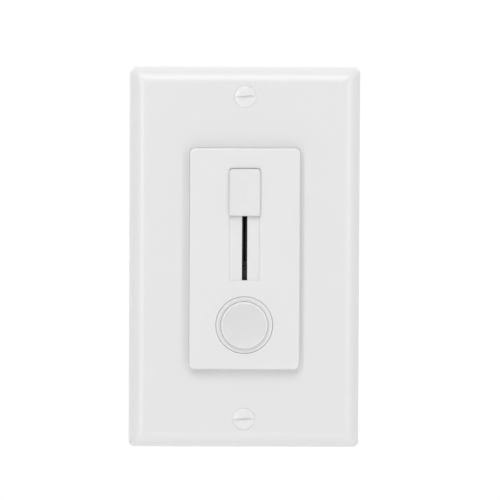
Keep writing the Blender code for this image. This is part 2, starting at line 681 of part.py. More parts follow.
def make_pot_board(body, low, high):
    """The resistive track's board, with three pins to the circuit board."""
    front, thickness, margin, pin_inset = 5.6, 0.8, 0.9, 2.4
    board = block("pot_track_board", (-3.6, 3.6), (front, front + thickness), (low + margin, high - margin),
                  "phenolic")
    places = ((-pin_inset, low + pin_inset), (pin_inset, low + pin_inset), (0.0, high - pin_inset))
    pins = [block("pin", (x - LEG, x + LEG), (front + 0.4, BOARD_FRONT - GAP), (z - LEG, z + LEG))
            for x, z in places]
    return place(fuse(board, *pins), body)


def make_pot_carriage(slider):
    """The block that runs in the case, the lever that stands in it, and the wiper behind it."""
    half_lever, half_width, lever_end, play = LEVER_THICKNESS / 2, LEVER_WIDTH / 2, 3.3, 0.15
    carriage = block("pot_slider_block", (-3.3, 3.3), (1.4, 4.2), (-4.0, 4.0), "acetal", radius=0.4)
    socket = block("socket", (-half_lever - play, half_lever + play), (0, lever_end + 0.2),
                   (-half_width - play, half_width + play))
    place(carve(carriage, socket), slider)
    lever = block("pot_lever", (-half_lever, half_lever), (LEVER_FRONT, lever_end), (-half_width, half_width),
                  "spring_steel", radius=0.5, along="X")
    place(lever, slider)
    sheet = 0.2
    fold = [(4.5, -3.2), (4.5, 0.4), (5.0, 3.4), (4.8, 3.9)]
    outline = fold + [(depth + sheet, up) for depth, up in reversed(fold)]
    place(prism("pot_wiper", outline, "X", -2.6, 2.6, "brass"), slider)


def make_pot(body, slider):
    low, high = TRAVEL_MIDDLE - POT_LENGTH / 2, TRAVEL_MIDDLE + POT_LENGTH / 2
    make_pot_case(body, low, high)
    make_pot_board(body, low, high)
    make_pot_carriage(slider)


# Push switch

def make_switch_body(body):
    half, wall = SWITCH_SIZE / 2, 1.0
    case = block("switch_body", (-half, half), (SWITCH_FRONT, SWITCH_BACK), (-half, half), "black_plastic",
                 radius=0.8)
    inside = block("inside", (wall - half, half - wall), (SWITCH_FRONT + wall, SWITCH_BACK + CUT),
                   (wall - half, half - wall), radius=0.4)
    throat = prism("throat", circle(STEM_RADIUS + 0.3), "Y", SWITCH_FRONT - CUT, SWITCH_FRONT + wall + CUT)
    pivot = prism("pivot", circle(LATCH_WIRE + 0.25, (LATCH_PIVOT_DEPTH, 0), SMALL_STEPS), "X",
                  half - wall - CUT, half + CUT)
    return place(carve(case, inside, throat, pivot), body, (0, 0, BUTTON_HEIGHT))


def make_switch_plunger(button):
    """A stem on a square slab, with the pocket in which the latch pin's tip runs."""
    chamfer = 0.4
    plunger = turned("switch_plunger", [(0, PLUNGER_FRONT), (STEM_RADIUS - chamfer, PLUNGER_FRONT),
                                        (STEM_RADIUS, PLUNGER_FRONT + chamfer), (STEM_RADIUS, 2.5), (0, 2.5)],
                     "acetal")
    slab = block("slab", (-3.5, 3.5), (1.8, 6.0), (-3.5, 3.5), radius=0.5)
    cam_pocket = block("cam_pocket", (2.5, 5.0), (2.2, 5.7), (-1.2, 1.6), radius=0.4, along="X")
    return place(carve(fuse(plunger, slab), cam_pocket), button)


def contact_tip(x, front, back):
    tip = turned("tip", [(0, front), (0.8, front), (0.8, back), (0, back)], steps=SMALL_STEPS)
    return place(tip, location=(x, 0, CONTACT_Z))


def make_contacts(body, button):
    """A bridge behind the plunger, which closes the gap between two fixed contacts when it is pushed in."""
    bridge = block("contact_bridge", (-5.2, 5.2), (6.3, 6.7), (CONTACT_Z - 1, CONTACT_Z + 1), "brass",
                   radius=0.4)
    fuse(bridge, *[contact_tip(x, 6.4, 7.0) for x in (-CONTACT_X, CONTACT_X)])
    place(bridge, button)
    for name, side in (("left", -1), ("right", 1)):
        pad = block("fixed_contact_" + name, side_span(side, 3.3, 5.6), (9.8, 10.3),
                    (CONTACT_Z - 1.4, CONTACT_Z + 1.2), "brass", radius=0.3)
        leg = block("leg", side_span(side, 4.8, 5.5), (9.9, BOARD_FRONT - GAP),
                    (CONTACT_Z - 1.2, CONTACT_Z + 0.8))
        fuse(pad, contact_tip(side * CONTACT_X, 9.5, 10.0), leg)
        place(pad, body, (0, 0, BUTTON_HEIGHT))


def make_latch_pin(latch):
    """A cranked wire. One end turns in the switch body, the other runs in the plunger's pocket."""
    reach, arm_x = LATCH_TIP_DEPTH - LATCH_PIVOT_DEPTH, 4.3
    points = [(2.95, reach, 0), (arm_x, reach, 0), (arm_x, 0, 0), (6.7, 0, 0)]
    return place(wire("latch_pin", points, LATCH_WIRE, "spring_steel"), latch)


def make_button_spring(body):
    """A coil spring between the strap and the button's roof, its end turns closed."""
    low, high = STRAP_FRONT - SPRING_WIRE - GAP, BUTTON_ROOF + SPRING_WIRE + GAP
    steps = 10
    total = round(SPRING_TURNS * steps)
    points = []
    for step in range(total + 1):
        share = min(max((step - steps / 2) / (total - steps), 0.0), 1.0)
        turn = 2 * pi * step / steps
        points.append((SPRING_RADIUS * cos(turn), low + (high - low) * share, SPRING_RADIUS * sin(turn)))
    return place(wire("button_spring", points, SPRING_WIRE, "spring_steel", 0), body, (0, 0, BUTTON_HEIGHT))


# Circuit board and what is on it

def make_circuit_board(body):
    outline = inset_rectangle(HOUSING_WIDTH, HOUSING_HEIGHT, HOUSING_WALL + 0.4, 1.0)
    board = prism("circuit_board", outline, "Y", BOARD_FRONT, BOARD_BACK, "circuit_green")
    holes = [prism("hole", circle(3.0, corner, SMALL_STEPS), "Y", BOARD_FRONT - CUT, BOARD_BACK + CUT)
             for corner in CORNERS]
    return place(carve(board, *holes), body)


def make_triac(body):
    """A three-legged power package: its tab is riveted to the strap through a mica sheet."""
    location = (TRIAC_HOLE[0], 0, TRIAC_HOLE[1])
    tab_front, tab_back, case_low = 0.8, 2.1, -12.4
    case = block("triac", (-5.0, 5.0), (tab_front, 5.2), (case_low, -3.4), "black_plastic", radius=0.4)
    tab = block("tab", (-5.0, 5.0), (tab_front, tab_back), (-4.0, 2.9), radius=0.6)
    legs = []
    for x in (-TRIAC_LEG_SPACING, 0.0, TRIAC_LEG_SPACING):
        span = (x - LEG, x + LEG)
        legs.append(block("leg", span, (3.2, 3.8), (case_low - 2.1, case_low + 0.4)))
        legs.append(block("leg", span, (3.3, BOARD_FRONT - GAP), (case_low - 2.2, case_low - 1.5)))
    fuse(case, tab, *legs)
    sheet = block("triac_insulator", (-5.4, 5.4), (0.1, 0.4), (case_low - 0.5, 3.5), "mica", radius=0.8)
    for piece in (case, sheet):
        hole = prism("hole", circle(1.8, steps=SMALL_STEPS), "Y", -CUT, tab_back + CUT)
        place(carve(piece, hole), body, location)
    place(make_rivet("triac_rivet", STRAP_FRONT - GAP, tab_back + GAP, 1.5, 2.6), body, location)


def make_choke(body):
    """A ring core with its winding, which covers all but a gap at the two wire ends."""
    location = (CHOKE_PLACE[0], BOARD_BACK + 4.7, CHOKE_PLACE[1])
    inner, outer, half, wrap = 4.6, 8.6, 3.2, 0.7
    place(ring("choke_core", inner, outer, (-half, half), "ferrite", 20), body, location)
    low, high, deep = inner - GAP, outer + GAP, half + GAP
    channel = [(low, -deep), (high, -deep), (high, deep), (low, deep)]
    sleeve = [(low - wrap, -deep - wrap), (high + wrap, -deep - wrap), (high + wrap, deep + wrap),
              (low - wrap, deep + wrap)]
    gap, steps = 40, 16
    shape = bmesh.new()
    loops = []
    for step in range(steps + 1):
        turn = radians(gap / 2 + (360 - gap) * step / steps)
        points = [(radius * cos(turn), depth, radius * sin(turn)) for radius, depth in sleeve + channel]
        loops.append([shape.verts.new(point) for point in points])
    neighbours = [(first + index, first + (index + 1) % 4) for first in (0, 4) for index in range(4)]
    for near, far in zip(loops, loops[1:]):
        for a, b in neighbours:
            shape.faces.new((near[a], near[b], far[b], far[a]))
    for end in (loops[0], loops[-1]):
        for a, b in neighbours[:4]:
            shape.faces.new((end[a], end[b], end[4 + b], end[4 + a]))
    place(new_object("choke_winding", shape, "enamel_copper"), body, location)


def legs_at(places, depth):
    """Short square legs that reach the board from components on its back."""
    return [block("leg", (x - LEG, x + LEG), (GAP, depth), (z - LEG, z + LEG)) for x, z in places]


def on_board(piece, body, location, lift=0.0, turn=0.0):
    """Stands a component on the board's back, where its own y = 0 is the board."""
    return place(piece, body, (location[0], BOARD_BACK + lift, location[1]), (0, turn, 0))


def make_box_capacitor(name, body, size, location):
    """A box-shaped film capacitor that stands on two legs."""
    width, depth, height = size
    stand_off, leg_z = 1.0, height / 2 - 2.0
    case = block(name, (-width / 2, width / 2), (stand_off, stand_off + depth), (-height / 2, height / 2),
                 "film_yellow", radius=0.8)
    return on_board(fuse(case, *legs_at(((0, -leg_z), (0, leg_z)), 2.0)), body, location)


def make_can_capacitor(body):
    """A can on end, with the groove that crimps it to its rubber bung."""
    radius, low, high, groove, depth = 3.95, 1.0, 12.4, 2.4, 0.35
    profile = [(0, low), (radius - depth, low), (radius, low + 0.4), (radius, groove - 0.4),
               (radius - depth, groove), (radius, groove + 0.4), (radius, high - 0.4), (radius - 0.45, high),
               (0, high)]
    can = turned("electrolytic_capacitor", profile, "black_plastic")
    return on_board(fuse(can, *legs_at(((-1.75, 0), (1.75, 0)), 2.0)), body, CAN_CAPACITOR_PLACE)


def make_axial(name, body, finish, radius, length, location):
    """A component that lies along Z on its two wire ends, such as a resistor."""
    half, lift, lead = length / 2, radius + 1.2, 1.4
    half_profile = [(0, half + lead), (LEG, half + lead), (LEG, half), (radius * 0.8, half),
                    (radius, half - 0.3)]
    profile = [(distance, -up) for distance, up in half_profile]
    profile += reversed(half_profile)
    case = turned(name, profile, finish, SMALL_STEPS, "Z")
    leg_z = half + lead - LEG + 0.05
    legs = [block("leg", (-LEG, LEG), (GAP - lift, 0.4), (z - LEG, z + LEG)) for z in (-leg_z, leg_z)]
    return on_board(fuse(case, *legs), body, location, lift)


def make_trimmer(body):
    """A small preset that sets the lowest brightness."""
    half, low, high = 3.3, 0.9, 4.4
    base = block("trimmer", (-half, half), (low, high), (-half, half), "trimmer_blue", radius=0.6)
    rotor = prism("rotor", circle(2.4), "Y", high - 0.4, high + 0.8)
    fuse(base, rotor, *legs_at(((-2.5, -2.0), (2.5, -2.0), (0.0, 2.2)), 2.0))
    carve(base, block("slot", (-0.4, 0.4), (high + 0.2, high + 1.6), (-2.0, 2.0)))
    return on_board(base, body, TRIMMER_PLACE, turn=radians(35))


def make_electronics(body):
    make_circuit_board(body)
    make_triac(body)
    make_choke(body)
    make_box_capacitor("film_capacitor_large", body, (7.5, 11.5, 17.5), LARGE_CAPACITOR_PLACE)
    make_box_capacitor("film_capacitor_small", body, (5.0, 8.5, 12.0), SMALL_CAPACITOR_PLACE)
    make_can_capacitor(body)
    for number, location in enumerate(RESISTOR_PLACES, 1):
        make_axial(f"resistor_{number}", body, "resistor_tan", 1.2, 6.4, location)
    make_axial("resistor_3", body, "resistor_tan", 2.1, 10.5, POWER_RESISTOR_PLACE)
    make_axial("diac", body, "trimmer_blue", 0.95, 4.0, DIAC_PLACE)
    make_trimmer(body)


def make_dimmer():
    body = marker("dimmer_body")
    slider = marker("slider_path", (0, 0, SLIDER_REST), body)
    button = marker("button_path", (0, 0, BUTTON_HEIGHT), body)
    latch = marker("latch_pivot", (0, LATCH_PIVOT_DEPTH, BUTTON_HEIGHT), body)
    make_wall_plate(body)
    make_plate_screw("plate_screw_top", body, 1)
    make_plate_screw("plate_screw_bottom", body, -1)
    make_front_cover(body)
    make_dust_seal(body)
    make_slider_cap(slider)
    make_button_cap(button)
    make_button_spring(body)
    make_strap(body)
    make_box_screws(body)
    make_ground_screw(body)
    make_rear_housing(body)
    make_housing_rivets(body)
    make_terminals(body)
    make_pot(body, slider)
    make_switch_body(body)
    make_switch_plunger(button)
    make_contacts(body, button)
    make_latch_pin(latch)
    make_electronics(body)


for leftover in list(bpy.data.objects):
    bpy.data.objects.remove(leftover)
FINISH = all_materials()
make_dimmer()
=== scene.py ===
"""Fine pieces, materials, light and camera for the slide dimmer switch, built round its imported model.

X runs right, Z runs up and Y runs into the wall. Pieces are modelled in millimetres, and each mesh is
scaled to metres as it is made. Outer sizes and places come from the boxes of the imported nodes.
"""

import json
from math import atan2, cos, pi, radians, sin, tan

import bmesh
import bpy
from mathutils import Matrix, Vector


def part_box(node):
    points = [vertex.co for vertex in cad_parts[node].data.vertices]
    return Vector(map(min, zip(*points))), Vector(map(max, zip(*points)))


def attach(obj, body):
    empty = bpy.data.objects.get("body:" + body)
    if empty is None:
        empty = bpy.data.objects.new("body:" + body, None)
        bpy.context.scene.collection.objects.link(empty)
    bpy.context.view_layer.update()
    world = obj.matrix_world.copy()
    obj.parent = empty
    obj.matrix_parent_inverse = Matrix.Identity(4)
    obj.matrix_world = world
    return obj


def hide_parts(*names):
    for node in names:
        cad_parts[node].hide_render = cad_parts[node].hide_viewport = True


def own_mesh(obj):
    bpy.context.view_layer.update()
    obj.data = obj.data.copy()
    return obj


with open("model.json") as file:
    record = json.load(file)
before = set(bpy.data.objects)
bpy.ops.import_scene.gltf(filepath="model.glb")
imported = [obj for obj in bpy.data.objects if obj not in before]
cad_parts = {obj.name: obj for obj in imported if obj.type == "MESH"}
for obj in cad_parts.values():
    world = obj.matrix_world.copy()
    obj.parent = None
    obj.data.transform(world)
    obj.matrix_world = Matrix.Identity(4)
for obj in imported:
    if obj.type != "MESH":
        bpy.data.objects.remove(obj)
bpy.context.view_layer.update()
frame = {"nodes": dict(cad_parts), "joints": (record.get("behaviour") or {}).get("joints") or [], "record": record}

MM = 0.001
GAP = 0.3  # between pieces that rest on each other
CUT = 1.0  # how far a cutter runs past the wall that it goes through
CORNER_STEPS = 8
FILLET_STEPS = 5
ROUND_STEPS = 96
SMALL_STEPS = 48
SHARP_ANGLE = radians(38)


class Box:
    """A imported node's box, in millimetres."""

    def __init__(self, node):
        low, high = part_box(node)
        self.low = Vector([round(value / MM, 3) for value in low])
        self.high = Vector([round(value / MM, 3) for value in high])
        self.middle = (self.low + self.high) / 2
        self.size = self.high - self.low


def joint_travel(name):
    """How far a sliding joint moves, in millimetres."""
    return next(joint["range_m"][1] for joint in frame["joints"] if joint["name"] == name) / MM


PLATE = Box("wall_plate")
COVER = Box("front_cover")
SLIDER = Box("slider_cap")
BUTTON = Box("button_cap")
STRAP = Box("mounting_strap")
HOUSING = Box("rear_housing")
SEAL = Box("dust_seal")
PLATE_SCREW_HEIGHT = Box("plate_screw_top").middle.z
BOX_SCREW_HEIGHT = Box("box_screw_top").middle.z
BUTTON_HEIGHT = BUTTON.middle.z
SLIDER_HEIGHT = SLIDER.middle.z
SLIDER_TRAVEL = joint_travel("slider_travel")
TRAVEL_MIDDLE = SLIDER_HEIGHT - SLIDER_TRAVEL / 2
WALL = PLATE.high.y
RIVETS = [Box(f"housing_rivet_{number}").middle for number in (1, 2, 3, 4)]
TERMINALS = [Box(f"terminal_screw_{number}") for number in (1, 2, 3)]


# Numbers and outlines, which are lists of (across, up) points

def around(half, middle=0.0):
    """The (low, high) pair at a distance each side of a middle."""
    return middle - half, middle + half


def side_span(side, near, far):
    """The (low, high) pair between two distances from the middle, on one side."""
    return tuple(sorted((side * near, side * far)))


def shares(steps):
    """Even steps from 0 to 1."""
    return [step / steps for step in range(steps + 1)]


def full_turn(steps):
    """The angles of even steps round a circle."""
    return [2 * pi * step / steps for step in range(steps)]


def rounded_outline(corners, steps=CORNER_STEPS):
    """The polygon through corners (across, up, radius), with each corner drawn as an arc."""
    outline = []
    for index, (across, up, radius) in enumerate(corners):
        here = Vector((across, up))
        to_last = (Vector(corners[index - 1][:2]) - here).normalized()
        to_next = (Vector(corners[(index + 1) % len(corners)][:2]) - here).normalized()
        half_angle = to_last.angle(to_next) / 2
        centre = here + (to_last + to_next).normalized() * (radius / sin(half_angle))
        reach = radius / tan(half_angle)
        first = here + to_last * reach - centre
        last = here + to_next * reach - centre
        start = atan2(first.y, first.x)
        sweep = (atan2(last.y, last.x) - start + pi) % (2 * pi) - pi
        for step in range(steps + 1):
            angle = start + sweep * step / steps
            outline.append((centre.x + radius * cos(angle), centre.y + radius * sin(angle)))
    return outline


def rectangle(width, height, radius=0.2, centre=(0.0, 0.0), steps=CORNER_STEPS):
    sides = ((-1, -1), (1, -1), (1, 1), (-1, 1))
    corners = [(centre[0] + a * width / 2, centre[1] + u * height / 2, radius) for a, u in sides]
    return rounded_outline(corners, steps)


def circle(radius, centre=(0.0, 0.0), steps=SMALL_STEPS):
    return [(centre[0] + radius * cos(turn), centre[1] + radius * sin(turn)) for turn in full_turn(steps)]


def arc(centre, radius, start, end, steps=FILLET_STEPS):
    """Points along an arc, from start to end in degrees."""
    turns = [radians(start + (end - start) * step / steps) for step in range(steps + 1)]
    return [(centre[0] + radius * cos(turn), centre[1] + radius * sin(turn)) for turn in turns]


# Solids

def new_object(name, shape):
    """An object from a bmesh in millimetres, with its normals out."""
    bmesh.ops.recalc_face_normals(shape, faces=shape.faces)
    bmesh.ops.scale(shape, vec=(MM, MM, MM), verts=shape.verts)
    mesh = bpy.data.meshes.new(name)
    shape.to_mesh(mesh)
    shape.free()
    obj = bpy.data.objects.new(name, mesh)
    bpy.context.scene.collection.objects.link(obj)
    return obj


def at_depth(outline, distance, along="Y"):
    """An outline's points in space, with the third coordinate on the axis that it is extruded along."""
    if along == "X":
        return [(distance, across, up) for across, up in outline]
    if along == "Y":
        return [(across, distance, up) for across, up in outline]
    return [(across, up, distance) for across, up in outline]


def loft(name, rings):
    """A closed solid through rings that have the same number of points."""
    shape = bmesh.new()
    loops = [[shape.verts.new(point) for point in ring] for ring in rings]
    for near, far in zip(loops, loops[1:]):
        for index in range(len(near)):
            shape.faces.new((near[index - 1], near[index], far[index], far[index - 1]))
    shape.faces.new(loops[0])
    shape.faces.new(loops[-1])
    return new_object(name, shape)


def prism(name, outline, start, end, along="Y"):
    return loft(name, [at_depth(outline, start, along), at_depth(outline, end, along)])


def edge_insets(start, end, radius, rounded=(True, True)):
    """(inset, depth) steps from start to end for a solid whose end edges are rounded."""
    step = 1 if end > start else -1
    near = [(inset, start + step * (radius - rise)) for inset, rise in arc((radius, 0), radius, 90, 180)]
    far = [(inset, end - step * (radius - rise)) for inset, rise in arc((radius, 0), radius, 180, 90)]
    return (near if rounded[0] else [(0.0, start)]) + (far if rounded[1] else [(0.0, end)])


def pad(name, outline_at, start, end, edge, along="Y", rounded=(True, True)):
    """A solid with rounded end edges. outline_at gives the outline at an inset."""
    return loft(name, [at_depth(outline_at(inset), depth, along)
                       for inset, depth in edge_insets(start, end, edge, rounded)])


def block(name, x, y, z, radius=0.3, edge=0.15, along="Y", rounded=(True, True)):
    """A box between three (low, high) pairs, with all its edges rounded."""
    across, up, length = {"X": (y, z, x), "Y": (x, z, y), "Z": (x, y, z)}[along]
    centre = ((across[0] + across[1]) / 2, (up[0] + up[1]) / 2)
    width, height = across[1] - across[0], up[1] - up[0]

    def outline_at(inset):
        return rectangle(width - 2 * inset, height - 2 * inset, max(radius - inset, 0.02), centre)
    return pad(name, outline_at, length[0], length[1], edge, along, rounded)


def plain_block(name, x, y, z):
    """A sharp-edged box between three (low, high) pairs."""
    outline = [(x[0], z[0]), (x[1], z[0]), (x[1], z[1]), (x[0], z[1])]
    return prism(name, outline, *y)


def turned(name, profile, steps=ROUND_STEPS, along="Y", radius_at=None):
    """A solid of revolution. The profile's (radius, distance) points run from axis to axis.

    radius_at(radius, distance, turn), where given, is the radius at one turn round the axis.
    """
    shape = bmesh.new()
    loops = []
    for radius, distance in profile:
        points = [(0.0, 0.0)]
        if radius:
            turns = full_turn(steps)
            radii = [radius_at(radius, distance, turn) if radius_at else radius for turn in turns]
            points = [(reach * cos(turn), reach * sin(turn)) for reach, turn in zip(radii, turns)]
        loops.append([shape.verts.new(point) for point in at_depth(points, distance, along)])
    for near, far in zip(loops, loops[1:]):
        for index in range(steps):
            corners = {near[index - 1 if len(near) > 1 else 0]: 0, near[index % len(near)]: 0}
            corners |= {far[index % len(far)]: 0, far[index - 1 if len(far) > 1 else 0]: 0}
            shape.faces.new(list(corners))
    return new_object(name, shape)


def wire(name, points, radius):
    """A round wire through the points, with eight sides and capped ends."""
    line = bpy.data.curves.new(name, "CURVE")
    line.dimensions = "3D"
    line.bevel_depth = radius * MM
    line.bevel_resolution = 2
    line.use_fill_caps = True
    spline = line.splines.new("POLY")
    spline.points.add(len(points) - 1)
    for node, point in zip(spline.points, points):
        node.co = (*(Vector(point) * MM), 1.0)
    path = bpy.data.objects.new(name + "_path", line)
    bpy.context.scene.collection.objects.link(path)
    shape = bmesh.new()
    shape.from_mesh(path.to_mesh())
    path.to_mesh_clear()
    bpy.data.objects.remove(path)
    bmesh.ops.remove_doubles(shape, verts=shape.verts, dist=0.001 * MM)
    bmesh.ops.scale(shape, vec=(1 / MM, 1 / MM, 1 / MM), verts=shape.verts)
    return new_object(name, shape)


def two_tone(obj, main, other, is_other):
    """Gives an object two materials. is_other picks the second's faces by their centre in millimetres."""
    obj.data.materials.append(main)
    obj.data.materials.append(other)
    for face in obj.data.polygons:
        face.material_index = int(is_other(face.center / MM))


def combine(target, tools, operation):
    """Applies a Boolean with each tool in turn, and removes the tools."""
    for tool in tools:
        modifier = target.modifiers.new(operation, "BOOLEAN")
        modifier.operation = operation
        modifier.object = tool
    finished = target.evaluated_get(bpy.context.evaluated_depsgraph_get())
    mesh = bpy.data.meshes.new_from_object(finished)
    target.modifiers.clear()
    target.data = mesh
    for tool in tools:
        bpy.data.objects.remove(tool)
    return target


def carve(target, *tools):
    return combine(target, tools, "DIFFERENCE")


def fuse(target, *tools):
    return combine(target, tools, "UNION")


def settle(obj, location=(0, 0, 0), rotation=(0, 0, 0), mirror_x=False):
    """Writes a turn, a mirroring and a move into the mesh, so that the object stays at the origin."""
    turn = Matrix.Identity(4)
    for angle, axis in zip(rotation, "XYZ"):
        turn = Matrix.Rotation(angle, 4, axis) @ turn
    if mirror_x:
        turn = Matrix.Scale(-1, 4, (1, 0, 0)) @ turn
    obj.data.transform(Matrix.Translation(Vector(location) * MM) @ turn)
    if mirror_x:
        obj.data.flip_normals()
    return obj


def lipped_cutter(name, outline_at, face, end, lip):
    """A cutter along +Y that leaves a rounded edge where it enters the face.

    outline_at gives the outline at a growth.
    """
    above = 0.05
    curve = [(lip - across, face + lip - down) for across, down in arc((0, 0), lip, 90, 0)]
    first, second = curve[0], curve[1]
    slope = (first[0] - second[0]) / (second[1] - first[1])
    steps = [(first[0] + slope * above, face - above)] + curve[1:] + [(0.0, end)]
    return loft(name, [at_depth(outline_at(growth), depth) for growth, depth in steps])


def growing(width, height, radius, centre=(0.0, 0.0)):
    """An outline function for lipped_cutter(), of a rectangle."""
    def outline_at(growth):
        return rectangle(width + 2 * growth, height + 2 * growth, radius + growth, centre)
    return outline_at


def drill(radius, centre, start, end, along="Y"):
    """A round cutter that runs right through from start to end."""
    return prism("hole", circle(radius, centre), start - CUT, end + CUT, along)


# Materials, made of nodes. Noise and pattern sizes are in millimetres.

def scaled(colour, factor):
    return [min(value * factor, 1.0) for value in colour]


class Finish:
    """One Principled material under construction."""

    def __init__(self, name, colour, roughness, metallic=0.0, **settings):
        self.material = bpy.data.materials.new(name)
        self.material.use_nodes = True
        self.tree = self.material.node_tree
        self.shader = self.tree.nodes["Principled BSDF"]
        self.colour = (*colour, 1.0)
        self.roughness = roughness
        self.shader.inputs["Base Color"].default_value = self.colour
        self.shader.inputs["Roughness"].default_value = roughness
        self.shader.inputs["Metallic"].default_value = metallic
        for socket, value in settings.items():
            self.shader.inputs[socket.replace("_", " ")].default_value = value
        self.place = self.add("ShaderNodeTexCoord").outputs["Object"]
        self.normal = None

    def add(self, kind, inputs=None, **settings):
        node = self.tree.nodes.new(kind)
        for name, value in settings.items():
            setattr(node, name, value)
        for name, value in (inputs or {}).items():
            if isinstance(value, bpy.types.NodeSocket):
                self.tree.links.new(value, node.inputs[name])
            else:
                node.inputs[name].default_value = value
        return node

    def link(self, output, socket):
        self.tree.links.new(output, self.shader.inputs[socket])

    def stretched(self, stretch):
        """The coordinates, with features drawn out along each axis by a factor."""
        factors = [1.0 / factor for factor in stretch]
        return self.add("ShaderNodeMapping", {"Vector": self.place, "Scale": factors}).outputs["Vector"]

    def noise(self, size, detail=3.0, stretch=None, distortion=0.0):
        vector = self.stretched(stretch) if stretch else self.place
        inputs = {"Vector": vector, "Scale": 1 / (size * MM), "Detail": detail, "Distortion": distortion}
        return self.add("ShaderNodeTexNoise", inputs).outputs["Fac"]

    def cells(self, size, stretch=None):
        """How far each place is from the nearest of many scattered points."""
        vector = self.stretched(stretch) if stretch else self.place
        inputs = {"Vector": vector, "Scale": 1 / (size * MM)}
        return self.add("ShaderNodeTexVoronoi", inputs).outputs["Distance"]

    def ranged(self, value, low, high, new_low=0.0, new_high=1.0):
        """The value, eased from one range to another."""
        inputs = {"Value": value, "From Min": low, "From Max": high, "To Min": new_low, "To Max": new_high}
        return self.add("ShaderNodeMapRange", inputs, interpolation_type="SMOOTHSTEP").outputs["Result"]

    def maths(self, operation, first, second=0.0):
        node = self.add("ShaderNodeMath", operation=operation)
        for index, value in enumerate((first, second)):
            if isinstance(value, bpy.types.NodeSocket):
                self.tree.links.new(value, node.inputs[index])
            else:
                node.inputs[index].default_value = value
        return node.outputs["Value"]

    def overlay(self, share, colour):
        """Mixes another colour over the base colour."""
        socket = self.shader.inputs["Base Color"]
        base = socket.links[0].from_socket if socket.is_linked else self.colour
        inputs = {"Fac": share, "Color1": base, "Color2": (*colour, 1.0)}
        self.link(self.add("ShaderNodeMixRGB", inputs).outputs["Color"], "Base Color")

    def tint(self, colour, field, low, high, share=1.0):
        """Mixes in up to a share of a colour, as the field goes from low to high."""
        self.overlay(self.ranged(field, low, high, 0.0, share), colour)

    def patches(self, colour, size, detail, low, high, share=1.0):
        """Tints the patches where a noise rises from low to high."""
        self.tint(colour, self.noise(size, detail), low, high, share)

    def edges(self, colour, low=0.52, high=0.60):
        """Tints the places where the surface bulges, which picks out its edges."""
        self.tint(colour, self.add("ShaderNodeNewGeometry").outputs["Pointiness"], low, high)

    def vary_roughness(self, value, spread):
        self.link(self.ranged(value, 0.3, 0.7, *around(spread, self.roughness)), "Roughness")

    def bump(self, height, depth, strength=1.0):
        """Raises the surface by the height field, over a depth in millimetres."""
        inputs = {"Height": height, "Distance": depth * MM, "Strength": strength}
        if self.normal:
            inputs["Normal"] = self.normal
        self.normal = self.add("ShaderNodeBump", inputs).outputs["Normal"]
        self.link(self.normal, "Normal")
        return self.material


def moulded(name, colour, roughness, grain=0.22, depth=0.012, shade=0.94, spread=0.06, **settings):
    """Injection-moulded plastic: a fine eroded grain, faint flow clouds and small worn spots."""
    finish = Finish(name, colour, roughness, **settings)
    finish.patches(scaled(colour, shade), 9.0, 2.0, 0.35, 0.75, 0.5)
    finish.patches(scaled(colour, shade), 0.5, 4.0, 0.62, 0.8, 0.25)
    finish.vary_roughness(finish.noise(3.5, 5.0), spread)
    finish.bump(finish.noise(5.0, 2.0), depth * 4, 0.12)
    return finish.bump(finish.noise(grain, 4.0), depth, 0.6)


def painted(name, colour, roughness):
    """Sprayed paint on metal: orange peel, and thinner paint on the edges."""
    finish = Finish(name, colour, roughness, Coat_Weight=0.25, Coat_Roughness=0.15)
    finish.edges(scaled(colour, 0.93), 0.54, 0.62)
    finish.patches(scaled(colour, 0.95), 1.5, 3.0, 0.4, 0.8, 0.4)
    finish.vary_roughness(finish.noise(0.8, 4.0), 0.05)
    return finish.bump(finish.noise(0.45, 2.0), 0.012, 0.6)


def brushed(name, colour, roughness, stretch, streak=0.12, worn=1.12):
    """Sheet metal with rolling streaks, small scratches and bright cut edges."""
    finish = Finish(name, colour, roughness, 1.0)
    streaks = finish.noise(streak, 5.0, stretch)
    finish.tint(scaled(colour, 0.86), streaks, 0.4, 0.75, 0.7)
    finish.patches(scaled(colour, 0.9), 6.0, 3.0, 0.45, 0.75, 0.5)
    finish.edges(scaled(colour, worn))
    finish.vary_roughness(streaks, 0.12)
    return finish.bump(streaks, 0.01, 0.5)


def plated(name, colour, roughness, tarnish, crystal=0.6):
    """Plated or turned metal: a crystalline bloom, tarnish in patches and bright edges."""
    finish = Finish(name, colour, roughness, 1.0)
    finish.tint(scaled(colour, 0.85), finish.cells(crystal), 0.1, 0.7, 0.35)
    stains = finish.noise(2.6, 5.0, distortion=0.6)
    finish.tint(tarnish, stains, 0.48, 0.72, 0.6)
    finish.edges(scaled(colour, 1.15))
    finish.vary_roughness(stains, 0.1)
    return finish.bump(finish.noise(0.15, 4.0), 0.006, 0.5)


def rubber_finish():
    finish = Finish("seal_rubber", (0.016, 0.016, 0.016), 0.85)
    finish.patches((0.024, 0.024, 0.024), 0.8, 4.0, 0.4, 0.8)
    finish.vary_roughness(finish.noise(0.6, 3.0), 0.08)
    return finish.bump(finish.noise(0.12, 4.0), 0.02, 0.6)


def fibre_finish():
    """Pressed fibre: long matted hairs in two directions."""
    finish = Finish("fibre", (0.46, 0.33, 0.20), 0.85)
    hairs = finish.noise(0.14, 4.0, (7.0, 1.0, 1.0), 0.8)
    crossing = finish.noise(0.14, 4.0, (1.0, 1.0, 7.0), 0.8)
    finish.tint((0.33, 0.22, 0.12), hairs, 0.45, 0.7)
    finish.tint((0.58, 0.44, 0.29), crossing, 0.52, 0.75)
    finish.vary_roughness(crossing, 0.06)
    finish.bump(hairs, 0.04, 0.5)
    return finish.bump(crossing, 0.03, 0.5)


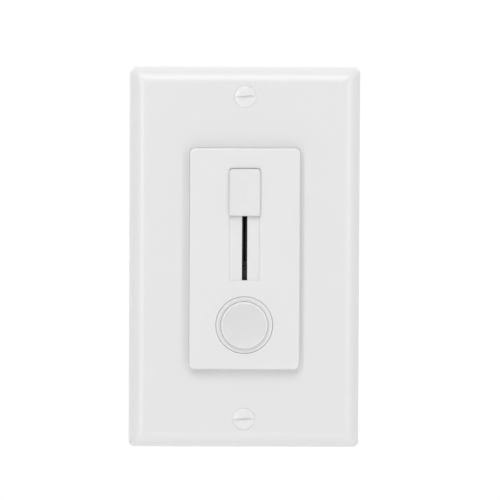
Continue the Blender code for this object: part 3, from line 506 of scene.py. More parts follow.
def board_finish():
    """Glass-fibre board: a woven ground, copper tracks under green lacquer, and a glossy surface."""
    finish = Finish("circuit_green", (0.03, 0.22, 0.09), 0.35, Coat_Weight=0.5, Coat_Roughness=0.2)
    mapped = finish.add("ShaderNodeMapping", {"Vector": finish.place, "Rotation": (radians(90), 0, 0)})
    brick = {"Vector": mapped.outputs["Vector"], "Scale": 1 / (3.2 * MM), "Mortar Size": 0.07,
             "Mortar Smooth": 0.1, "Brick Width": 1.4, "Row Height": 0.9}
    tracks = finish.add("ShaderNodeTexBrick", brick).outputs["Fac"]
    threads = [finish.noise(0.3, 1.0, stretch) for stretch in ((6.0, 1.0, 1.0), (1.0, 1.0, 6.0))]
    weave = finish.maths("ADD", *threads)
    finish.tint((0.02, 0.15, 0.06), weave, 0.8, 1.2, 0.5)
    finish.overlay(tracks, (0.06, 0.36, 0.14))
    finish.vary_roughness(finish.noise(2.0, 4.0), 0.08)
    finish.bump(tracks, 0.035, 0.8)
    return finish.bump(weave, 0.01, 0.4)


def laminate_finish():
    """Brown paper laminate with two dark resistive tracks along it."""
    track_place, track_edge, track_core = 1.5 * MM, 0.9 * MM, 0.8 * MM
    finish = Finish("phenolic", (0.25, 0.14, 0.06), 0.45)
    across = finish.add("ShaderNodeSeparateXYZ", {"Vector": finish.place}).outputs["X"]
    beside = finish.maths("SUBTRACT", finish.maths("ABSOLUTE", across), track_place)
    off_track = finish.maths("ABSOLUTE", beside)
    finish.tint((0.17, 0.09, 0.04), finish.noise(0.3, 5.0, (1.0, 1.0, 8.0)), 0.4, 0.7)
    finish.tint((0.02, 0.02, 0.02), off_track, track_edge, track_core)
    finish.vary_roughness(finish.noise(1.0, 4.0), 0.08)
    return finish.bump(finish.noise(0.2, 4.0, (1.0, 1.0, 6.0)), 0.012, 0.6)


def acetal_finish():
    finish = Finish("acetal", (0.86, 0.85, 0.80), 0.42, Subsurface_Weight=0.2, Subsurface_Scale=0.002)
    finish.patches((0.80, 0.79, 0.72), 4.0, 3.0, 0.4, 0.7, 0.6)
    finish.vary_roughness(finish.noise(2.0, 4.0), 0.07)
    return finish.bump(finish.noise(0.3, 4.0), 0.01, 0.5)


def ferrite_finish():
    """Pressed and lacquered powder: flecks, an uneven coat and chalky edges."""
    colour = (0.55, 0.50, 0.12)
    finish = Finish("ferrite", colour, 0.5)
    finish.tint((0.35, 0.31, 0.07), finish.cells(0.35), 0.45, 0.2, 0.6)
    finish.patches(scaled(colour, 0.8), 1.8, 4.0, 0.45, 0.75, 0.5)
    finish.edges(scaled(colour, 1.2))
    finish.vary_roughness(finish.noise(0.9, 4.0), 0.1)
    return finish.bump(finish.noise(0.2, 5.0), 0.02, 0.6)


def banded_finish():
    """Resistor lacquer with plain colour bands, which repeat along the body."""
    repeat, band_core, band_edge = 4.4 * MM, 0.24 * MM, 0.28 * MM
    finish = Finish("resistor_tan", (0.62, 0.50, 0.35), 0.4, Coat_Weight=0.3, Coat_Roughness=0.2)
    height = finish.add("ShaderNodeSeparateXYZ", {"Vector": finish.place}).outputs["Z"]
    bands = ((0.2, (0.35, 0.05, 0.03)), (1.1, (0.05, 0.05, 0.05)), (2.0, (0.50, 0.24, 0.03)))
    for offset, colour in bands:
        along = finish.maths("MODULO", finish.maths("ADD", height, (100 + offset) * MM), repeat)
        off_band = finish.maths("ABSOLUTE", finish.maths("SUBTRACT", along, repeat / 2))
        finish.tint(colour, off_band, band_edge, band_core)
    finish.vary_roughness(finish.noise(0.8, 4.0), 0.08)
    return finish.bump(finish.noise(0.5, 3.0), 0.02, 0.5)


def mica_finish():
    finish = Finish("mica", (0.70, 0.68, 0.60), 0.3, 0.1)
    flakes = finish.cells(2.2, (1.0, 4.0, 1.0))
    finish.tint((0.52, 0.50, 0.44), flakes, 0.2, 0.7, 0.7)
    finish.patches((0.85, 0.84, 0.78), 0.4, 5.0, 0.55, 0.7, 0.6)
    finish.vary_roughness(flakes, 0.12)
    return finish.bump(flakes, 0.02, 0.5)


WHITE = 0.70
SLOT_MATERIALS = {
    "plate_plastic": moulded("plate_plastic", (WHITE, WHITE, WHITE), 0.3, 0.3, 0.004, 0.99, 0.012),
    "cover_plastic": moulded("cover_plastic", (WHITE, WHITE, WHITE), 0.36, 0.22, 0.004, 0.99, 0.02),
    "slider_plastic": moulded("slider_plastic", (0.68, 0.68, 0.68), 0.42, 0.22, 0.006, 0.99, 0.02),
    "screw_paint": painted("screw_paint", (0.71, 0.71, 0.71), 0.34),
    "strap_aluminium": brushed("strap_aluminium", (0.77, 0.78, 0.79), 0.34, (1.0, 1.0, 40.0)),
    "zinc_steel": plated("zinc_steel", (0.70, 0.71, 0.72), 0.3, (0.58, 0.57, 0.50)),
    "green_paint": plated("green_paint", (0.05, 0.33, 0.12), 0.3, (0.03, 0.20, 0.07)),
    "spring_steel": brushed("spring_steel", (0.55, 0.56, 0.58), 0.26, (1.0, 6.0, 1.0)),
    "brass": plated("brass", (0.78, 0.58, 0.26), 0.28, (0.55, 0.36, 0.14), 0.4),
    "housing_plastic": moulded("housing_plastic", (0.045, 0.045, 0.05), 0.5, 0.35, 0.03, 1.5),
    "black_plastic": moulded("black_plastic", (0.03, 0.03, 0.03), 0.48, 0.18, 0.02, 1.6),
    "seal_rubber": rubber_finish(),
    "fibre": fibre_finish(),
    "circuit_green": board_finish(),
    "phenolic": laminate_finish(),
    "acetal": acetal_finish(),
    "ferrite": ferrite_finish(),
    "enamel_copper": brushed("enamel_copper", (0.62, 0.25, 0.10), 0.22, (1.0, 5.0, 1.0), 0.08, 1.3),
    "film_yellow": moulded("film_yellow", (0.80, 0.55, 0.08), 0.38, 0.25, 0.015, 0.9),
    "resistor_tan": banded_finish(),
    "glass_blue": moulded("glass_blue", (0.05, 0.15, 0.45), 0.25, 0.3, 0.01, 0.8, Coat_Weight=0.4),
    "mica": mica_finish(),
}
# The button's dish: the white plastic made darker as painted shade for the hollow, and made rougher
DISH_PAINTED_SHADE_PLASTIC = moulded("dish_plastic_painted_shade", (0.63, 0.63, 0.63), 0.5, 0.18, 0.008, 0.985, 0.03)
NODE_SLOTS = {part["node"]: part["material_slot"] for part in frame["record"]["subparts"]}
BODIES = frame["record"]["behaviour"]["bodies"]
NODE_BODIES = {node: body for body, nodes in BODIES.items() for node in nodes}


def shade(obj, bevel=0.0, weld=False):
    """Keeps flat faces flat under smooth shading, and rounds sharp edges where a bevel is asked for."""
    if weld:
        obj.modifiers.new("weld", "WELD").merge_threshold = 0.001 * MM
    if bevel:
        modifier = obj.modifiers.new("edges", "BEVEL")
        modifier.width = bevel * MM
        modifier.segments = 3
        modifier.limit_method = "ANGLE"
        modifier.angle_limit = SHARP_ANGLE
    obj.modifiers.new("normals", "WEIGHTED_NORMAL").keep_sharp = True


def detailed(obj, node, bevel=0.0):
    """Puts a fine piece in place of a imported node, on the node's body and in its material."""
    obj.name = node + "_detailed"
    obj.data.name = obj.name
    obj.data.shade_smooth()
    if not bevel:
        obj.data.set_sharp_from_angle(angle=SHARP_ANGLE)
    if not obj.data.materials:
        obj.data.materials.append(SLOT_MATERIALS[NODE_SLOTS[node]])
    shade(obj, bevel)
    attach(obj, NODE_BODIES[node])
    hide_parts(node)
    return obj


# Wall plate

PLATE_CORNER = 1.8
PLATE_RIM = 1.5  # straight side before the curved edge
PLATE_EDGE_INSET = 5.2
PLATE_INSIDE = -3.9
PLATE_SIDE_WALL = 1.9
OPENING_MARGIN = 0.02  # round the front cover
OPENING_LIP = 0.06
COLLAR_WALL = 1.2
COLLAR_END = -1.9
BOSS_END = -2.2
THREAD_RADIUS = 1.65  # of a 6-32 screw
HEAD_RADIUS = 3.25  # of a plate screw
HEAD_CONE = 1.6
HEAD_RECESS = 0.16  # from the plate's face to the head's edge
SINK_MARGIN = 0.04  # round the head


def plate_edge():
    """The wall plate's (inset, depth) edge: a small chamfer, a straight side, then a quarter ellipse."""
    chamfer, steps = 0.15, 18
    rise = -PLATE.low.y - PLATE_RIM
    profile = [(chamfer, WALL), (0.0, WALL - chamfer)]
    for step in range(steps + 1):
        turn = pi / 2 * step / steps
        profile.append((PLATE_EDGE_INSET * (1 - cos(turn)), -PLATE_RIM - rise * sin(turn)))
    return profile


def plate_ring(inset, depth, radius):
    return at_depth(rectangle(PLATE.size.x - 2 * inset, PLATE.size.z - 2 * inset, radius), depth)


def plate_ribs():
    """Thin walls that stiffen the plate's back, clear of the strap."""
    back, thickness, root = -2.6, 0.9, PLATE_INSIDE - 0.5
    half_width, half_height = PLATE.size.x / 2 - PLATE_SIDE_WALL, PLATE.size.z / 2 - PLATE_SIDE_WALL
    near_x, near_z = COVER.size.x / 2, COVER.size.z / 2 - 1.0
    ribs = []
    for side in (-1, 1):
        for z in (-26.0, -9.0, 9.0, 26.0):
            x = side_span(side, near_x, half_width)
            ribs.append(plain_block("rib", x, (root, back), around(thickness / 2, z)))
        for x in (-11.0, 11.0):
            z = side_span(side, near_z, half_height)
            ribs.append(plain_block("rib", around(thickness / 2, x), (root, back), z))
    return ribs


def plate_marks():
    """Shallow rounds that the mould's ejector pins leave inside the plate."""
    radius, depths = 2.2, (PLATE_INSIDE - 0.15, WALL + CUT)
    places = [(x, z) for x in (-25.4, 25.4) for z in (-44.0, -17.5, 17.5, 44.0)]
    return [prism("mark", circle(radius, place), *depths) for place in places]


def make_wall_plate():
    rings = [plate_ring(inset, depth, PLATE_CORNER - 0.15 * inset) for inset, depth in plate_edge()]
    plate = loft("plate", rings)
    inner_corner, inner_edge = 1.2, 3.2
    cavity = [(PLATE_SIDE_WALL, WALL + CUT), (PLATE_SIDE_WALL, WALL - 1.2),
              (inner_edge - 0.5, PLATE_INSIDE + 0.3), (inner_edge, PLATE_INSIDE)]
    carve(plate, loft("cavity", [plate_ring(inset, depth, inner_corner) for inset, depth in cavity]))
    carve(plate, *plate_marks())
    width, height = COVER.size.x + 2 * OPENING_MARGIN, FACE_HEIGHT + 2 * OPENING_MARGIN
    screws = [(0, side * PLATE_SCREW_HEIGHT) for side in (-1, 1)]
    collar_outline = rectangle(width + 2 * COLLAR_WALL, height + 2 * COLLAR_WALL, 2.2)
    collar = prism("collar", collar_outline, PLATE_INSIDE - 0.5, COLLAR_END)
    bosses = [prism("boss", circle(3.0, screw), PLATE_INSIDE - 0.5, BOSS_END) for screw in screws]
    fuse(plate, collar, *plate_ribs(), *bosses)
    opening_at = growing(width, height, COVER_CORNER)
    opening = lipped_cutter("opening", opening_at, PLATE.low.y, WALL + CUT, OPENING_LIP)
    mouth = HEAD_RADIUS + SINK_MARGIN
    seat, shank = PLATE.low.y + HEAD_RECESS, THREAD_RADIUS + 0.15
    sink = [(0, PLATE.low.y - 0.5), (mouth + 0.5, PLATE.low.y - 0.5), (mouth + 0.04, PLATE.low.y - 0.03),
            (mouth, PLATE.low.y + 0.03), (mouth, seat), (shank, seat + HEAD_CONE), (shank, WALL + CUT),
            (0, WALL + CUT)]
    sinks = [settle(turned("sink", sink), (x, 0, z)) for x, z in screws]
    return carve(plate, opening, *sinks)


# Front cover

COVER_BACK = -1.9
COVER_INSIDE = -7.1
COVER_CORNER = 1.5
COVER_FILLET = 0.4
COVER_WALL = 1.5
TRACK_DEPTH = 0.35
TRACK_TOP = 27.2
TRACK_BOTTOM = -6.4
TRACK_WIDTH = 9.1
SLOT_WIDTH = 1.58
SLOT_TOP = 24.4
SLOT_BOTTOM = -7.45
BUTTON_HOLE_RADIUS = 8.58
TRACK_LIP, SLOT_LIP, HOLE_LIP = 0.07, 0.04, 0.08
FACE_HEIGHT = 66.3
LEG_WIDTH = 5.0
LEG_PLACES = (-9.0, 9.0)


def snap_leg(side, x):
    """A hooked leg that goes through the strap and catches behind it."""
    hook = 0.9
    outer = COVER.high.z - hook
    inner, catch, root, end = outer - 1.2, 0.0, -4.0, COVER.high.y
    outline = [(root, inner), (end, inner), (end, outer), (end - 0.8, outer + hook), (catch, outer + hook),
               (catch, outer), (root, outer)]
    return prism("leg", [(depth, side * up) for depth, up in outline], *around(LEG_WIDTH / 2, x), "X")


def make_front_cover():
    width, height = COVER.size.x, FACE_HEIGHT

    def outline_at(inset):
        return rectangle(width - 2 * inset, height - 2 * inset, COVER_CORNER - 0.8 * inset)
    cover = pad("cover", outline_at, COVER.low.y, COVER_BACK, COVER_FILLET, rounded=(True, False))
    inside = rectangle(width - 2 * COVER_WALL, height - 2 * COVER_WALL, 0.8)
    carve(cover, prism("inside", inside, COVER_INSIDE, COVER_BACK + CUT))
    fuse(cover, *[snap_leg(side, x) for side in (-1, 1) for x in LEG_PLACES])

    def hole_at(growth):
        return circle(BUTTON_HOLE_RADIUS + growth, (0, BUTTON_HEIGHT), ROUND_STEPS)
    track_at = growing(TRACK_WIDTH, TRACK_TOP - TRACK_BOTTOM, 0.4, (0, (TRACK_TOP + TRACK_BOTTOM) / 2))
    slot_at = growing(SLOT_WIDTH, SLOT_TOP - SLOT_BOTTOM, 0.3, (0, (SLOT_TOP + SLOT_BOTTOM) / 2))
    face, track_floor, through = COVER.low.y, COVER.low.y + TRACK_DEPTH, COVER_INSIDE + CUT
    track = lipped_cutter("track", track_at, face, track_floor, TRACK_LIP)
    slot = lipped_cutter("slot", slot_at, track_floor, through, SLOT_LIP)
    hole = lipped_cutter("hole", hole_at, face, through, HOLE_LIP)
    return carve(cover, track, slot, hole)


# Slider and button

CAP_CHAMFER = 0.32
CAP_RIM = 0.9  # from the cap's outline to the hollow in its face
CAP_DISH = 0.3
CAP_HEIGHT = 14.1
CAP_BACK = -9.1
KEEL_HEIGHT = 8.0
KEEL_THICKNESS = 0.5


def cap_outline(inset=0.0):
    """The slider cap's outline: well-rounded upper corners and nearly square lower ones."""
    half_width, half_height = SLIDER.size.x / 2 - inset, CAP_HEIGHT / 2 - inset
    lower, upper = max(0.35 - inset, 0.05), max(1.2 - inset, 0.08)
    return rounded_outline([(-half_width, -half_height, lower), (half_width, -half_height, lower),
                            (half_width, half_height, upper), (-half_width, half_height, upper)])


def make_slider_cap():
    """The cap, whose face is gently hollowed inside a narrow rim, and its forked keel."""
    front = SLIDER.low.y
    soft = 0.04
    steps = [(CAP_CHAMFER + soft, front), (CAP_CHAMFER - soft, front + soft),
             (soft, front + CAP_CHAMFER - soft), (0.0, front + CAP_CHAMFER + soft), (0.0, CAP_BACK)]
    deepest, hollow_steps = 4.3, 16
    for share in shares(hollow_steps):
        inset = CAP_RIM + (deepest - CAP_RIM) * share
        steps.insert(0, (inset, front + CAP_DISH * sin(share * pi / 2) ** 2))
    cap = loft("cap", [at_depth(cap_outline(inset), depth) for inset, depth in steps])
    half_keel, half_height, half_fork = KEEL_THICKNESS / 2, KEEL_HEIGHT / 2, 2.2
    keel_depths = (CAP_BACK - GAP, SLIDER.high.y)
    keel = plain_block("keel", around(half_keel), keel_depths, around(half_height))
    fork = plain_block("fork", around(CUT), (-7.0, SLIDER.high.y + CUT), around(half_fork))
    return settle(fuse(cap, carve(keel, fork)), (0, 0, SLIDER_HEIGHT))


def make_button_cap():
    """A dished dome, a flange flush with the cover, a collar that holds it in and the plunger's socket. The dish
    has a darker, rougher copy of the plastic, which is painted shade.
    """
    rim_depth, flange = BUTTON.low.y, COVER.low.y + 0.05
    dome_radius, dish_radius, dish_depth, dish_rings, flange_radius, rim = 7.05, 6.5, 1.1, 24, 8.48, 0.45
    dish = [(dish_radius * share, rim_depth + dish_depth * (1 - share ** 2))
            for share in shares(dish_rings)]
    edge = arc((dome_radius - rim, rim_depth + rim), rim, -90, 0, 10)
    groove_width, groove_depth, flange_fillet = 0.1, 0.3, 0.15
    root = [(dome_radius, flange + groove_depth), (dome_radius + groove_width, flange + groove_depth),
            (dome_radius + groove_width, flange)]
    flange_edge = arc((flange_radius - flange_fillet, flange + flange_fillet), flange_fillet, -90, 0)
    collar_radius, collar_front = BUTTON.size.x / 2, COVER_INSIDE + GAP
    collar_back = collar_front + 0.8
    collar = [(flange_radius, collar_front), (collar_radius, collar_front), (collar_radius, collar_back)]
    roof, skirt_mouth, skirt_inside = -8.5, 7.2, 6.0
    skirt = [(skirt_mouth, collar_back), (skirt_mouth, -7.5), (skirt_inside, -7.7), (skirt_inside, roof)]
    socket_outside, socket_radius, socket_floor = 3.2, 2.25, Box("switch_plunger").low.y - GAP
    socket = [(socket_outside, roof), (socket_outside, BUTTON.high.y), (socket_radius, BUTTON.high.y),
              (socket_radius, socket_floor), (0, socket_floor)]
    button = turned("button", dish + edge + root + flange_edge + collar + skirt + socket)
    def in_dish(centre):
        return centre.y < rim_depth + dish_depth and Vector((centre.x, centre.z)).length < dish_radius
    # The faces in the dish get the darker plastic: painted shade
    two_tone(button, SLOT_MATERIALS["cover_plastic"], DISH_PAINTED_SHADE_PLASTIC, in_dish)
    return settle(button, (0, 0, BUTTON_HEIGHT))


def make_dust_seal():
    """Two soft black lips behind the slot, which nearly meet in front and clear the lever behind."""
    front, back = SEAL.low.y, SEAL.high.y
    half_width, half_slit, half_lever, lip = SEAL.size.x / 2, KEEL_THICKNESS / 2 + 0.05, 0.6, 0.12
    seal = plain_block("seal", around(half_width), (front, back), (SEAL.low.z, SEAL.high.z))
    channel = [(-half_slit, front - CUT), (half_slit, front - CUT), (half_slit, front + lip / 2),
               (half_lever, front + lip), (half_lever, back + CUT), (-half_lever, back + CUT),
               (-half_lever, front + lip), (-half_slit, front + lip / 2)]
    reach = (SLIDER_TRAVEL + KEEL_HEIGHT) / 2 + 0.4
    return carve(seal, prism("channel", channel, TRAVEL_MIDDLE - reach, TRAVEL_MIDDLE + reach, "Z"))


# Screws and rivets, drawn with the head's seat at y = 0 and the shank along +Y

THREAD_PITCH = 25.4 / 32


def thread_profile(start, end, outer):
    """Rows along a threaded shank, close enough together to hold its helix."""
    rows = round((end - start) / THREAD_PITCH * 8)
    return [(outer, start + (end - start) * row / rows) for row in range(rows + 1)]


def thread_radius(start, end):
    """A radius function for turned(): the shank has a V thread that runs out at its start and end."""
    depth = 0.3

    def radius_at(radius, distance, turn):
        if not start <= distance <= end:
            return radius
        phase = (distance / THREAD_PITCH - turn / (2 * pi)) % 1.0
        groove = min(max(1.25 - abs(4 * phase - 2), 0.0), 1.0)
        run_out = min((distance - start) / THREAD_PITCH, (end - distance) / THREAD_PITCH, 1.0)
        return radius - depth * groove * run_out
    return radius_at


def make_screw(head, outer, length):
    """A screw from its head's profile, with a threaded shank and a blunt chamfered point."""
    start, end = head[-1][1] + 0.2, length - 0.6
    profile = head + thread_profile(start, end, outer) + [(outer - 0.5, length), (0, length)]
    return turned("screw", profile, SMALL_STEPS, radius_at=thread_radius(start, end))


def screw_slot(height, depth, half_width, edge):
    """A cutter for the straight slot in a screw's head, longer than any head is wide."""
    return block("slot", around(5.0), (-height - CUT, -height + depth), around(half_width), 0.02, edge,
                 rounded=(False, True))


def make_plate_screw(side):
    """An oval-head countersunk screw. Only its head is painted."""
    rise, edge, length, head_steps = 0.55, 0.03, 12.7, 14
    head = [(HEAD_RADIUS * share, -rise + (rise - edge) * share ** 2) for share in shares(head_steps)]
    head += [(HEAD_RADIUS, 0.0), (THREAD_RADIUS, HEAD_CONE)]
    screw = make_screw(head, THREAD_RADIUS, length)
    carve(screw, screw_slot(rise, depth=0.5, half_width=0.3, edge=0.2))
    paint_end = HEAD_CONE * 0.7
    paint, zinc = SLOT_MATERIALS["screw_paint"], SLOT_MATERIALS["zinc_steel"]
    two_tone(screw, paint, zinc, lambda centre: centre.y > paint_end)
    return settle(screw, (0, PLATE.low.y + HEAD_RECESS, side * PLATE_SCREW_HEIGHT), (0, radians(-3), 0))


def pan_head(radius, height):
    """A pan head's (radius, distance) profile, from the top to the seat."""
    crown, edge = 0.25, 0.7
    top = [(radius * share, -height + crown * share ** 2) for share in (0.0, 0.2, 0.4, 0.6, 0.75)]
    low = -height + crown
    return top + arc((radius - edge, low + edge), edge, -70, 0) + [(radius, -0.12), (radius - 0.12, 0)]


def make_pan_screw(radius, height, outer, length):
    """A pan-head screw with a combination slot and cross recess."""
    screw = make_screw(pan_head(radius, height) + [(outer, 0)], outer, length)
    half_wing = 0.4
    wing = [(1.9, -height - CUT), (1.9, -height + 0.2), (0.5, -height + 1.5), (0.3, -height + 1.6)]
    outline = wing + [(-across, depth) for across, depth in reversed(wing)]
    carve(screw, screw_slot(height, depth=0.95, half_width=0.45, edge=0.1))
    for name, along in (("upright", "X"), ("level", "Z")):
        points = [(depth, across) for across, depth in outline] if along == "X" else outline
        carve(screw, prism(name, points, *around(half_wing), along))
    return screw


def make_box_screw(side):
    screw = make_pan_screw(radius=3.3, height=1.8, outer=THREAD_RADIUS, length=25.4)
    return settle(screw, (0, STRAP.low.y - GAP, side * BOX_SCREW_HEIGHT), (0, radians(20 * side), 0))


def make_retainer(side):
    """The fibre square that keeps a box screw in the strap."""
    box = Box("screw_retainer_top")
    half = box.size.x / 2
    square = block("square", around(half), (box.low.y, box.high.y), around(half), 1.0, 0.12)
    hole = drill(THREAD_RADIUS + 0.2, (0, 0), 0, box.high.y)
    return settle(carve(square, hole), (0, 0, side * BOX_SCREW_HEIGHT))


def make_rivet(front, back, shank, head):
    """A semi-tubular rivet: a low domed head in front, and a rolled end with a hole behind."""
    rise, roll, bore = 0.8, 0.4, 0.7
    floor = back + roll - 2.3
    dome = [(head * sin(radians(turn)), front - rise * cos(radians(turn))) for turn in range(0, 91, 9)]
    rolled = arc((head - roll, back + roll), roll, -90, 90, 8)
    rolled += arc((bore + roll, back + roll), roll, 90, 180, 4)
    hole = [(bore, floor + 0.3), (bore - 0.2, floor), (0, floor)]
    return turned("rivet", dome + [(shank, front), (shank, back)] + rolled + hole, SMALL_STEPS)


# Strap

NECK_WIDTH = 20.0
EAR_WIDTH = 27.0
EAR_START = 46.3
STRAP_BODY_HEIGHT = 70.0
STRAP_BACK = -0.3
TAB_MIDDLE = (-16.1, 4.6)  # the ground screw, across and deep
TAB_THICKNESS = 1.3
RIVET_HOLE = 1.7  # radii of the holes
SCREW_HOLE = 1.85


def strap_outline():
    """Broad heat-sink plate, a neck at each end, and the ears that rest on the wall."""
    half_width, half_height = STRAP.size.x / 2, STRAP_BODY_HEIGHT / 2
    neck, ear, end = NECK_WIDTH / 2, EAR_WIDTH / 2, STRAP.size.z / 2
    right = [(half_width, half_height, 2.0), (neck, half_height, 1.5), (neck, EAR_START, 0.8),
             (ear, EAR_START, 1.5), (ear, end, 2.5)]
    top = right + [(-x, z, radius) for x, z, radius in reversed(right)]
    return rounded_outline(top + [(-x, -z, radius) for x, z, radius in top])


def make_ground_tab():
    """A tongue bent back from the strap's lower edge, tapped for the ground screw."""
    middle, low, half_width, root_depth = TAB_MIDDLE[0], -STRAP_BODY_HEIGHT / 2, 3.9, 1.3
    front, end, thickness = STRAP.low.y, STRAP.high.y, (low, low + TAB_THICKNESS)
    outline = rectangle(2 * half_width, end - front, 1.4, (middle, (front + end) / 2))
    tab = prism("tab", outline, *thickness, "Z")
    fuse(tab, plain_block("root", around(half_width, middle), (front, front + root_depth), thickness))
    return carve(tab, drill(SCREW_HOLE, TAB_MIDDLE, *thickness, "Z"))


def strap_cutters():
    """Screw holes, snap slots, rivet holes, and the openings for the lever and the plunger."""
    triac = Box("triac_rivet").middle
    triac_hole, plunger_hole, lever_width, lever_room, leg_height = 1.8, 2.6, 3.6, 9.0, 32.35
    outlines = [circle(RIVET_HOLE, (rivet.x, rivet.z)) for rivet in RIVETS]
    outlines.append(circle(triac_hole, (triac.x, triac.z)))
    outlines.append(circle(plunger_hole, (0, BUTTON_HEIGHT)))
    outlines.append(rectangle(lever_width, SLIDER_TRAVEL + lever_room, 1.0, (0, TRAVEL_MIDDLE)))
    for side in (-1, 1):
        outlines.append(circle(SCREW_HOLE, (0, side * PLATE_SCREW_HEIGHT)))
        outlines.append(rectangle(6.0, 3.9, 1.9, (0, side * BOX_SCREW_HEIGHT)))
        outlines += [rectangle(LEG_WIDTH + 0.8, 1.9, 0.3, (x, side * leg_height)) for x in LEG_PLACES]
    return [prism("cutter", outline, STRAP.low.y - CUT, WALL + CUT) for outline in outlines]


def score_lines():
    """Grooves in the back of the ears, where their ends can be snapped off."""
    half_groove, groove_depth = 0.25, 0.25
    depths = (WALL - groove_depth, WALL + CUT)
    spans = [side_span(side, EAR_START - CUT, STRAP.size.z / 2 + CUT) for side in (-1, 1)]
    places = [(x, span) for span in spans for x in (-7.2, 7.2)]
    return [plain_block("score", around(half_groove, x), depths, span) for x, span in places]


def make_strap():
    strap = prism("strap", strap_outline(), STRAP.low.y, STRAP_BACK)
    margin, end = 0.3, STRAP.size.z / 2
    width, height, middle = EAR_WIDTH - 2 * margin, end - EAR_START - 2 * margin, (EAR_START + end) / 2
    pads = [prism("pad", rectangle(width, height, 1.5, (0, side * middle)), STRAP.low.y + 0.6, WALL)
            for side in (-1, 1)]
    fuse(strap, make_ground_tab(), *pads)
    return carve(strap, *strap_cutters(), *score_lines())


# Rear housing and its terminals

HOUSING_WIDTH = 38.0
HOUSING_WALL = 1.6
HOUSING_ROUND = 0.8
POST_RADIUS = 2.6
TERMINAL_DEPTH = 19.0
TERMINAL_HOLE = 1.9
TERMINAL_SEAT = 2.9  # from the housing's side to the screw's head
BRACKET_HALF = 5.5


def terminal_side(box):
    return 1 if box.middle.x > 0 else -1


def terminal_ribs(side, height):
    """Three walls that fence a side terminal and leave it open at the back, where the wire comes in."""
    reach, thickness, ahead = 6.8, 1.2, 8.5
    x = side_span(side, HOUSING_WIDTH / 2 - 0.4, HOUSING.size.x / 2)
    front = TERMINAL_DEPTH - ahead
    ribs = [plain_block("rib", x, (front, front + thickness), around(reach, height))]
    depths = (front + 0.8, HOUSING.high.y - 1.0)
    for low in (height - reach, height + reach - thickness):
        ribs.append(plain_block("rib", x, depths, (low, low + thickness)))
    return ribs


def back_details():
    """Cutters for the back: a recessed panel and ejector marks."""
    back = HOUSING.high.y
    cutters = [prism("panel", rectangle(19.0, 30.0, 1.5), back - 0.4, back + CUT)]
    for x, z in [(x, z) for x in (-14.0, 14.0) for z in (-10.0, 10.0)]:
        cutters.append(prism("mark", circle(1.6, (x, z)), back - 0.2, back + CUT))
    return cutters


def make_rear_housing():
    """A tub with rivet posts in its corners, and fences round the side terminals."""
    height, back = HOUSING.size.z, HOUSING.high.y

    def outline_at(inset):
        return rectangle(HOUSING_WIDTH - 2 * inset, height - 2 * inset, 2.2 - inset)
    housing = pad("housing", outline_at, WALL, back, HOUSING_ROUND, rounded=(False, True))
    inside = rectangle(HOUSING_WIDTH - 2 * HOUSING_WALL, height - 2 * HOUSING_WALL, 1.2)
    carve(housing, prism("inside", inside, WALL - CUT, back - 1.8))
    corners = [(rivet.x, rivet.z) for rivet in RIVETS]
    posts = [prism("post", circle(POST_RADIUS, corner), WALL + 0.2, back - 1.0) for corner in corners]
    sides = [(terminal_side(box), box.middle.z) for box in TERMINALS]
    ribs = [rib for side, z in sides for rib in terminal_ribs(side, z)]
    fuse(housing, *posts, *ribs)
    cutters = [drill(RIVET_HOLE, corner, WALL, back) for corner in corners]
    for side, z in sides:
        x = side_span(side, HOUSING_WIDTH / 2 - 3.0, HOUSING_WIDTH / 2 + CUT)
        leg_front = TERMINAL_DEPTH - BRACKET_HALF
        cutters.append(plain_block("leg_slit", x, (leg_front - 0.4, leg_front + 1.2), around(2.4, z)))
        cutters.append(prism("screw_hole", circle(2.2, (TERMINAL_DEPTH, z)), *x, "X"))
    return carve(housing, *cutters, *back_details())


def at_terminal(obj, box):
    """Moves a piece drawn for the right side to its terminal, mirrored where that is on the left."""
    return settle(obj, (0, TERMINAL_DEPTH, box.middle.z), mirror_x=terminal_side(box) < 0)


def make_bracket(box):
    """The terminal's fixed plate, with the leg that goes through the housing's wall."""
    node = Box("terminal_bracket_1")
    face, outer = HOUSING_WIDTH / 2 + GAP, node.high.x
    half_width, half_height = BRACKET_HALF, node.size.z / 2
    plate = block("plate", (face, outer), around(half_width), around(half_height), 0.8, 0.12, "X")
    leg_depths, half_leg = (0.05 - half_width, 0.8 - half_width), 2.0
    fuse(plate, plain_block("leg", (node.low.x, face + 0.4), leg_depths, around(half_leg)))
    return at_terminal(carve(plate, drill(TERMINAL_HOLE, (0, 0), face, outer, "X")), box)


def make_clamp(box):
    """The plate that a terminal screw presses on the wire, with grooves in its inner face."""
    node = Box("terminal_plate_1")
    x, half_width, half_height = (node.low.x, node.high.x), node.size.y / 2, node.size.z / 2
    plate = block("plate", x, around(half_width), around(half_height), 0.9, 0.15, "X")
    first_groove, pitch, half_groove, groove_depth = 2.3, 0.45, 0.2, 0.12
    grooves = []
    for z in [side * (first_groove + pitch * step) for side in (-1, 1) for step in range(4)]:
        outline = [(x[0] - 0.1, z - half_groove), (x[0] + groove_depth, z), (x[0] - 0.1, z + half_groove)]
        grooves.append(prism("groove", outline, *around(half_width + CUT)))
    return at_terminal(carve(plate, drill(TERMINAL_HOLE, (0, 0), *x, "X"), *grooves), box)


def make_terminal_screw(box):
    side, seat = terminal_side(box), HOUSING_WIDTH / 2 + TERMINAL_SEAT
    screw = make_pan_screw(radius=3.4, height=1.9, outer=1.6, length=4.1)
    return settle(screw, (side * seat, TERMINAL_DEPTH, box.middle.z), (0, radians(25), side * pi / 2))


def make_ground_screw():
    screw = make_pan_screw(radius=3.3, height=1.9, outer=1.6, length=3.4)
    return settle(screw, (*TAB_MIDDLE, -STRAP_BODY_HEIGHT / 2 - GAP), (radians(90), 0, 0))


# Inside pieces

